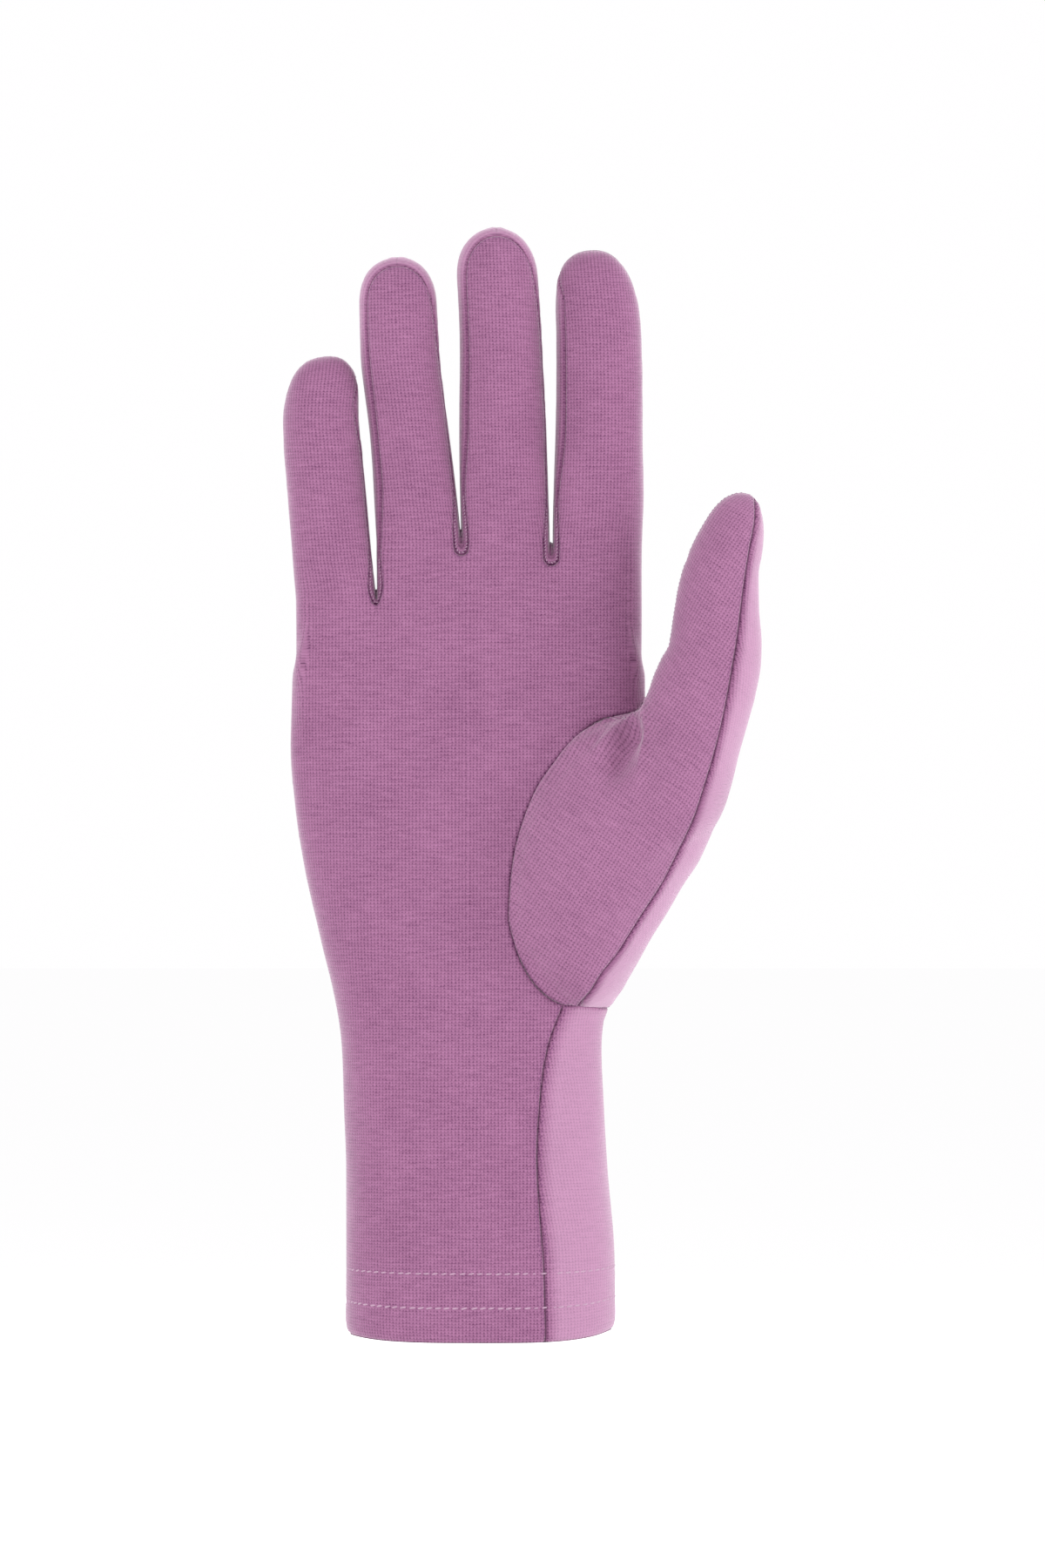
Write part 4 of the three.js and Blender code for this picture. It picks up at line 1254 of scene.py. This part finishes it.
# how far the painted light strips reach round the side, and how far below a fingertip the side walls' painted
# sheen grows
THUMB_STRIP_REACH = 2.0
THUMB_STRIP_FADE = 9.0
CUFF_STRIP_REACH = 9.0
CUFF_STRIP_FADE = 14.0
TIP_PAINTED_SHEEN = 0.26
TIP_SHEEN_START = 26.0
TIP_SHEEN_LENGTH = 22.0
SEAM_PAINTED_SHADE = 0.27
SEAM_SHADE_REACH = 0.5


def thumb_painted_light(place, beyond):
    """Painted light and sheen on the strip past the thumb's long seam, which fades out round the side, and
    painted shade in the groove beside the seam.
    """
    cx, cy = thumb_piece_section(place[:, 2])[:2]
    past = np.clip(beyond, 0, None)
    fade = smooth_step((place[:, 1] - cy + THUMB_STRIP_REACH) / THUMB_STRIP_FADE)
    strip = smooth_step(past / STRIP_EDGE) * (1 - fade)
    strip *= smooth_step((place[:, 0] - cx + THUMB_STRIP_REACH) / STRIP_EDGE)
    groove = THUMB_GROOVE_PAINTED_SHADE * np.exp(-past / THUMB_GROOVE_SHADE_REACH)
    return np.where(beyond > 0, THUMB_STRIP_PAINTED_LIGHT * strip - groove, 0.0)


def cuff_painted_light(place):
    """Painted light and sheen on the strip right of the cuff's seam, which fades out round the side."""
    past = np.clip(line_distance(cuff_line, place[:, 0], place[:, 2]), 0, None)
    fade = smooth_step((place[:, 1] + CUFF_STRIP_REACH) / CUFF_STRIP_FADE)
    return CUFF_STRIP_PAINTED_LIGHT * smooth_step(past / STRIP_EDGE) * (1 - fade)


def fork_painted_sheen(place):
    """Painted sheen on the side walls, which are paler towards the fingertips."""
    tips = np.array([finger_tip(n) for n in FINGER_NAMES])[nearest_finger(*place.T)]
    return TIP_PAINTED_SHEEN * smooth_step((place[:, 2] - tips + TIP_SHEEN_START) / TIP_SHEEN_LENGTH)


def build_piece(name, mask):
    """One piece of cloth: its outer face, its inner face and the rim between them."""
    faces = sheet.faces[mask]
    used, local = np.unique(faces, return_inverse=True)
    local = local.reshape(faces.shape)
    place = p0[used]
    count = len(used)
    if name == "thumb":
        u, w = thumb_knit(place, v["long"][used] > 0)
        painted_light_and_shade = np.full(count, THUMB_PAINTED_SHEEN) + thumb_painted_light(place, v["long"][used])
    elif name == "palm_panel":
        u, w = panel_knit(place, False)
        painted_light_and_shade = np.zeros(count)
    elif name == "back_panel":
        u, w = panel_knit(place, True)
        painted_light_and_shade = cuff_painted_light(place)
    else:
        u, w = fork_knit(place)
        painted_light_and_shade = fork_painted_sheen(place)
    # painted shade: the cloth is painted darker in the groove along every seam
    painted_light_and_shade -= SEAM_PAINTED_SHADE * np.exp(-((nearest_seam[used] / SEAM_SHADE_REACH) ** 2))
    a, b = rim_of(local).T
    walls = np.concatenate([np.stack([b, a, a + count], 1), np.stack([b, a + count, b + count], 1)])
    all_faces = np.concatenate([local, local[:, ::-1] + count, walls])
    points = np.concatenate([outer[used], inner[used]])
    ob = make_mesh("piece_" + name, points, all_faces, knit)
    knit_place = np.stack([u, w, np.zeros(count)], 1)
    attribute = ob.data.attributes.new("knit_place", "FLOAT_VECTOR", "POINT")
    attribute.data.foreach_set("vector", np.concatenate([knit_place, knit_place]).astype(np.float32).ravel())
    # painted light and shade, read by the knit material
    attribute = ob.data.attributes.new("painted_light_and_shade", "FLOAT", "POINT")
    attribute.data.foreach_set("value", np.concatenate([painted_light_and_shade, painted_light_and_shade]).astype(np.float32))
    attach(ob, "root")
    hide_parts(name)


for name, mask in groups.items():
    build_piece(name, mask)

# Stitches: small rounded threads along the seams and round the hem

# share of the length at which a thread has a ring, and the ring's share of its radius
THREAD_RINGS = ((-0.5, 0.35), (-0.38, 0.9), (0.0, 1.0), (0.38, 0.9), (0.5, 0.35))
THREAD_SIDES = 6
THREAD_FLATNESS = 0.8
THREAD_SINK = 0.5
THREAD_DEPTH = 0.1
SHORTEST_CHAIN = 4
# how unevenly the stitches lie, as a share of their pitch, and the length that their way is read from
PLACE_SPREAD = 0.12
WAY_STEP = 0.5


def relief_at(p):
    """Points on the outer face of the hem, and the way out of the cloth."""
    n = unit(gradient(p))
    out = p + n * (CLOTH_WAVE * unevenness(p) - THREAD_DEPTH)[:, None]
    out[:, 2] += hem_lift(p[:, 0], p[:, 2])
    return out, n


def threads(middles, ways, outs, length, radius):
    """One thread for each middle: a rod with rounded ends that lies along its way."""
    ways = unit(ways)
    outs = unit(outs - (outs * ways).sum(1, keepdims=True) * ways)
    side = np.cross(ways, outs)
    points = []
    for share, size in THREAD_RINGS:
        sink = 4 * share * share * THREAD_SINK * radius
        for k in range(THREAD_SIDES):
            turn = 2 * math.pi * k / THREAD_SIDES
            across = math.cos(turn) * size * radius
            up = math.sin(turn) * size * radius * THREAD_FLATNESS - sink
            points.append(middles + ways * share * length + side * across + outs * up)
    per = len(points)
    points = np.stack(points, 1).reshape(-1, 3)
    one = []
    n = THREAD_SIDES
    for r in range(len(THREAD_RINGS) - 1):
        for k in range(n):
            a, b = r * n + k, r * n + (k + 1) % n
            one += [(a, b, b + n), (a, b + n, a + n)]
    last = (len(THREAD_RINGS) - 1) * n
    for k in range(1, n - 1):
        one += [(0, k + 1, k), (last, last + k, last + k + 1)]
    faces = (np.array(one)[None] + per * np.arange(len(middles))[:, None, None]).reshape(-1, 3)
    return points, faces


def chains(key, level):
    """The lines of the mesh that lie on a level line, as rows of vertex numbers in order."""
    on = np.abs(v[key] - level) < TINY
    f = sheet.faces
    edges = np.concatenate([f[:, [0, 1]], f[:, [1, 2]], f[:, [2, 0]]])
    edges = edges[on[edges].all(1)]
    edges = np.unique(np.sort(edges, axis=1), axis=0)
    near = {}
    for a, b in edges.tolist():
        near.setdefault(a, []).append(b)
        near.setdefault(b, []).append(a)
    rows = []
    seen = set()
    starts = [a for a, others in near.items() if len(others) == 1] + list(near)
    for start in starts:
        if start in seen:
            continue
        row = [start]
        seen.add(start)
        while True:
            onward = [b for b in near[row[-1]] if b not in seen]
            if not onward:
                break
            row.append(onward[0])
            seen.add(onward[0])
        if len(row) > SHORTEST_CHAIN:
            rows.append(np.array(row))
    return rows


def places_on(line, length, at):
    """Rows of numbers read off a line at lengths along it."""
    return np.stack([np.interp(at, length, line[:, k]) for k in range(3)], 1)


def along_chain(row, pitch, rng):
    """Evenly spaced places on the outer face along a chain: middles, ways, outs and bases."""
    line = outer[row]
    length = np.concatenate([[0], np.cumsum(np.linalg.norm(np.diff(line, axis=0), axis=1))])
    if length[-1] < 3 * pitch:
        return None
    at = np.arange(pitch / 2, length[-1], pitch)
    at = at + rng.uniform(-PLACE_SPREAD, PLACE_SPREAD, len(at)) * pitch
    way = places_on(line, length, at + WAY_STEP) - places_on(line, length, at - WAY_STEP)
    out = places_on(normals[row], length, at)
    base = places_on(p0[row], length, at)
    return places_on(line, length, at), way, out, base


def thread_material(name, dark, light):
    material = bpy.data.materials.new(name)
    material.use_nodes = True
    tree = material.node_tree
    shader = tree.nodes["Principled BSDF"]
    shader.inputs["Roughness"].default_value = 0.75
    shader.inputs["Specular IOR Level"].default_value = 0.25
    shader.inputs["Sheen Weight"].default_value = 0.4
    noise = tree.nodes.new("ShaderNodeTexNoise")
    noise.inputs["Scale"].default_value = 2200.0
    noise.inputs["Detail"].default_value = 3.0
    where = tree.nodes.new("ShaderNodeTexCoord")
    tree.links.new(where.outputs["Object"], noise.inputs["Vector"])
    mix = tree.nodes.new("ShaderNodeMix")
    mix.data_type = "RGBA"
    mix.inputs["A"].default_value = dark
    mix.inputs["B"].default_value = light
    tree.links.new(noise.outputs[0], mix.inputs["Factor"])
    tree.links.new(mix.outputs["Result"], shader.inputs["Base Color"])
    bump = tree.nodes.new("ShaderNodeBump")
    bump.inputs["Strength"].default_value = 0.5
    bump.inputs["Distance"].default_value = 0.05 * MM
    tree.links.new(noise.outputs[0], bump.inputs["Height"])
    tree.links.new(bump.outputs[0], shader.inputs["Normal"])
    return material


dark_thread = thread_material("dark_thread", (0.15, 0.03, 0.13, 1.0), (0.29, 0.10, 0.24, 1.0))
pale_thread = thread_material("pale_thread", (0.36, 0.19, 0.31, 1.0), (0.60, 0.40, 0.53, 1.0))


def sew(name, material, parts):
    """One object of many threads."""
    points = []
    faces = []
    start = 0
    for part_points, part_faces in parts:
        points.append(part_points)
        faces.append(part_faces + start)
        start += len(part_points)
    ob = make_mesh(name, np.concatenate(points), np.concatenate(faces), material)
    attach(ob, "root")


HEM_PITCH = 2.0
HEM_STITCH = 1.5
HEM_TILT = 0.16
HEM_RADIUS = 0.2
HEM_PROUD = 0.04
HEM_SPREAD = 0.08
HEM_WAY_STEP = 0.4
# a ring of points round the cuff starts just outside it and is brought onto it
RING_POINTS = 721
RING_START = 1.02
RING_ROUNDS = 12
rng = np.random.default_rng(11)
turns = np.linspace(0, 2 * math.pi, RING_POINTS)
hem_parts = []
for row in HEM_ROWS:
    cx, cy, wide, front = body_section(np.array(row))[:4]
    ring_x = cx + RING_START * wide * np.cos(turns)
    ring_y = cy + RING_START * front * np.sin(turns)
    ring = np.stack([ring_x, ring_y, 0 * turns + row], 1)
    for _ in range(RING_ROUNDS):
        ring = to_surface(ring, 1)
        ring[:, 2] = row
    far = np.concatenate([[0], np.cumsum(np.linalg.norm(np.diff(ring, axis=0), axis=1))])
    count = int(far[-1] / HEM_PITCH)
    at = (np.arange(count) + 0.5 + rng.uniform(-HEM_SPREAD, HEM_SPREAD, count)) * far[-1] / count
    spot = places_on(ring, far, at)
    ways = unit(places_on(ring, far, at + HEM_WAY_STEP) - spot)
    ways[:, 2] += HEM_TILT * np.where(ways[:, 0] < 0, -1, 1) * rng.uniform(0.5, 1.5, count)
    middles, outs = relief_at(spot)
    hem_parts.append(threads(middles + outs * HEM_PROUD, ways, outs, HEM_STITCH, HEM_RADIUS))
sew("hem_stitches", pale_thread, hem_parts)

# a row's key and level, its pitch, a thread's length and radius
DARK_ROWS = (
    ("palm", -0.85, 1.1, 0.62, 0.17),
    ("back", 0.85, 1.1, 0.62, 0.17),
    ("long", -0.85, 1.0, 0.55, 0.14),
    ("gusset", 0.42, 0.95, 0.42, 0.11),
)
DARK_SINK = 0.02
# the lowest stitch of a row, and the top of the gusset's
LOW_STITCH = 20.0
LOW_PALM_STITCH = 2.0
HIGH_GUSSET_STITCH = 136.0
dark_parts = []
for key, level, pitch, length, radius in DARK_ROWS:
    for row in chains(key, level):
        places = along_chain(row, pitch, rng)
        if places is None:
            continue
        spot, ways, outs, base = places
        on_thumb_side = gusset_distance(*base.T) > 0
        keep = on_thumb_side == (key in ("long", "gusset"))
        keep &= base[:, 2] > (LOW_PALM_STITCH if key == "palm" else LOW_STITCH)
        if key == "gusset":
            keep &= base[:, 2] < HIGH_GUSSET_STITCH
        if keep.sum() > 1:
            middles = spot[keep] - unit(outs[keep]) * DARK_SINK
            dark_parts.append(threads(middles, ways[keep], outs[keep], length, radius))
sew("seam_stitches", dark_thread, dark_parts)

# the pale chain of threads that shows inside each fork's seam
FORK_ROW = 0.42
FORK_PITCH = 0.75
FORK_STITCH = 0.6
FORK_RADIUS = 0.13
FORK_TILT = 0.9
FORK_PROUD = 0.03
FORK_ROW_TOP = 9.0
FORK_ROW_DEPTH = 12.0
pale_parts = []
for row in chains("palm", FORK_ROW):
    places = along_chain(row, FORK_PITCH, rng)
    if places is None:
        continue
    spot, ways, outs, base = places
    finger_here = nearest_finger(*base.T)
    _, fork_here, _ = sides(*base.T, finger_here)
    rises = np.array(FORK_RISES)[np.clip(fork_here, 0, 2)]
    keep = (fork_here >= 0) & (base[:, 2] < PALM_TOP + rises + FORK_ROW_TOP)
    keep &= base[:, 2] > PALM_TOP - FORK_ROW_DEPTH
    if keep.sum() > 1:
        ways, outs = ways[keep], outs[keep]
        sideways = FORK_TILT * unit(np.cross(ways, outs)) * np.linalg.norm(ways, axis=1)[:, None]
        middles = spot[keep] + unit(outs) * FORK_PROUD
        pale_parts.append(threads(middles, ways + sideways, outs, FORK_STITCH, FORK_RADIUS))
sew("fork_stitches", pale_thread, pale_parts)

# Camera, light and surroundings

CAMERA_DISTANCE = 2600.0
CAMERA_X = 9.4
CAMERA_Z = 124.9
VIEW_HEIGHT = 352.8
SENSOR_WIDTH = 36.0
camera_data = bpy.data.cameras.new("camera")
camera_data.sensor_width = SENSOR_WIDTH
camera_data.lens = SENSOR_WIDTH * CAMERA_DISTANCE / VIEW_HEIGHT
camera = bpy.data.objects.new("camera", camera_data)
camera.location = (CAMERA_X * MM, -CAMERA_DISTANCE * MM, CAMERA_Z * MM)
camera.rotation_euler = (math.pi / 2, 0, 0)
bpy.context.scene.collection.objects.link(camera)
bpy.context.scene.camera = camera
bpy.context.scene.view_settings.view_transform = "Standard"

world = bpy.data.worlds.new("studio")
world.use_nodes = True
world.node_tree.nodes["Background"].inputs["Color"].default_value = (1.0, 0.995, 1.0, 1.0)
world.node_tree.nodes["Background"].inputs["Strength"].default_value = 1.0
bpy.context.scene.world = world


def lamp(name, place, target, size, power):
    """A flat lamp that faces its target."""
    data = bpy.data.lights.new(name, "AREA")
    data.shape = "RECTANGLE"
    data.size, data.size_y = size
    data.energy = power
    ob = bpy.data.objects.new(name, data)
    ob.location = place
    way = np.array(target) - np.array(place)
    ob.rotation_euler = (
        math.atan2(math.hypot(way[0], way[1]), -way[2]),
        0,
        math.atan2(way[1], way[0]) - math.pi / 2,
    )
    bpy.context.scene.collection.objects.link(ob)


# place, target and size in metres, and power in watts
LAMPS = (
    ("right_light", (1.1, -0.55, 0.3), (0.0, 0.0, 0.12), (0.7, 1.2), 6.5),
    ("left_light", (-1.1, -0.45, 0.3), (0.0, 0.0, 0.12), (0.6, 1.2), 4.0),
    ("front_light", (-0.2, -1.7, 0.1), (0.0, 0.0, 0.1), (1.4, 1.2), 3.0),
    ("back_light", (0.3, 1.5, 0.6), (0.0, 0.0, 0.12), (1.0, 1.0), 9.0),
)
for row in LAMPS:
    lamp(*row)

FLOOR_Z = -60.0
FLOOR_SIZE = 9000.0
FLOOR_CORNERS = ((-1, -1), (1, -1), (1, 1), (-1, 1))
floor_points = [(x * FLOOR_SIZE, y * FLOOR_SIZE, FLOOR_Z) for x, y in FLOOR_CORNERS]
floor_faces = [(0, 1, 2), (0, 2, 3)]
pale = bpy.data.materials.new("pale_floor")
pale.use_nodes = True
floor_shader = pale.node_tree.nodes["Principled BSDF"]
floor_shader.inputs["Base Color"].default_value = (0.985, 0.985, 0.985, 1.0)
floor_shader.inputs["Roughness"].default_value = 1.0
floor_shader.inputs["Specular IOR Level"].default_value = 0.0
floor = make_mesh("floor", np.array(floor_points), np.array(floor_faces), pale)
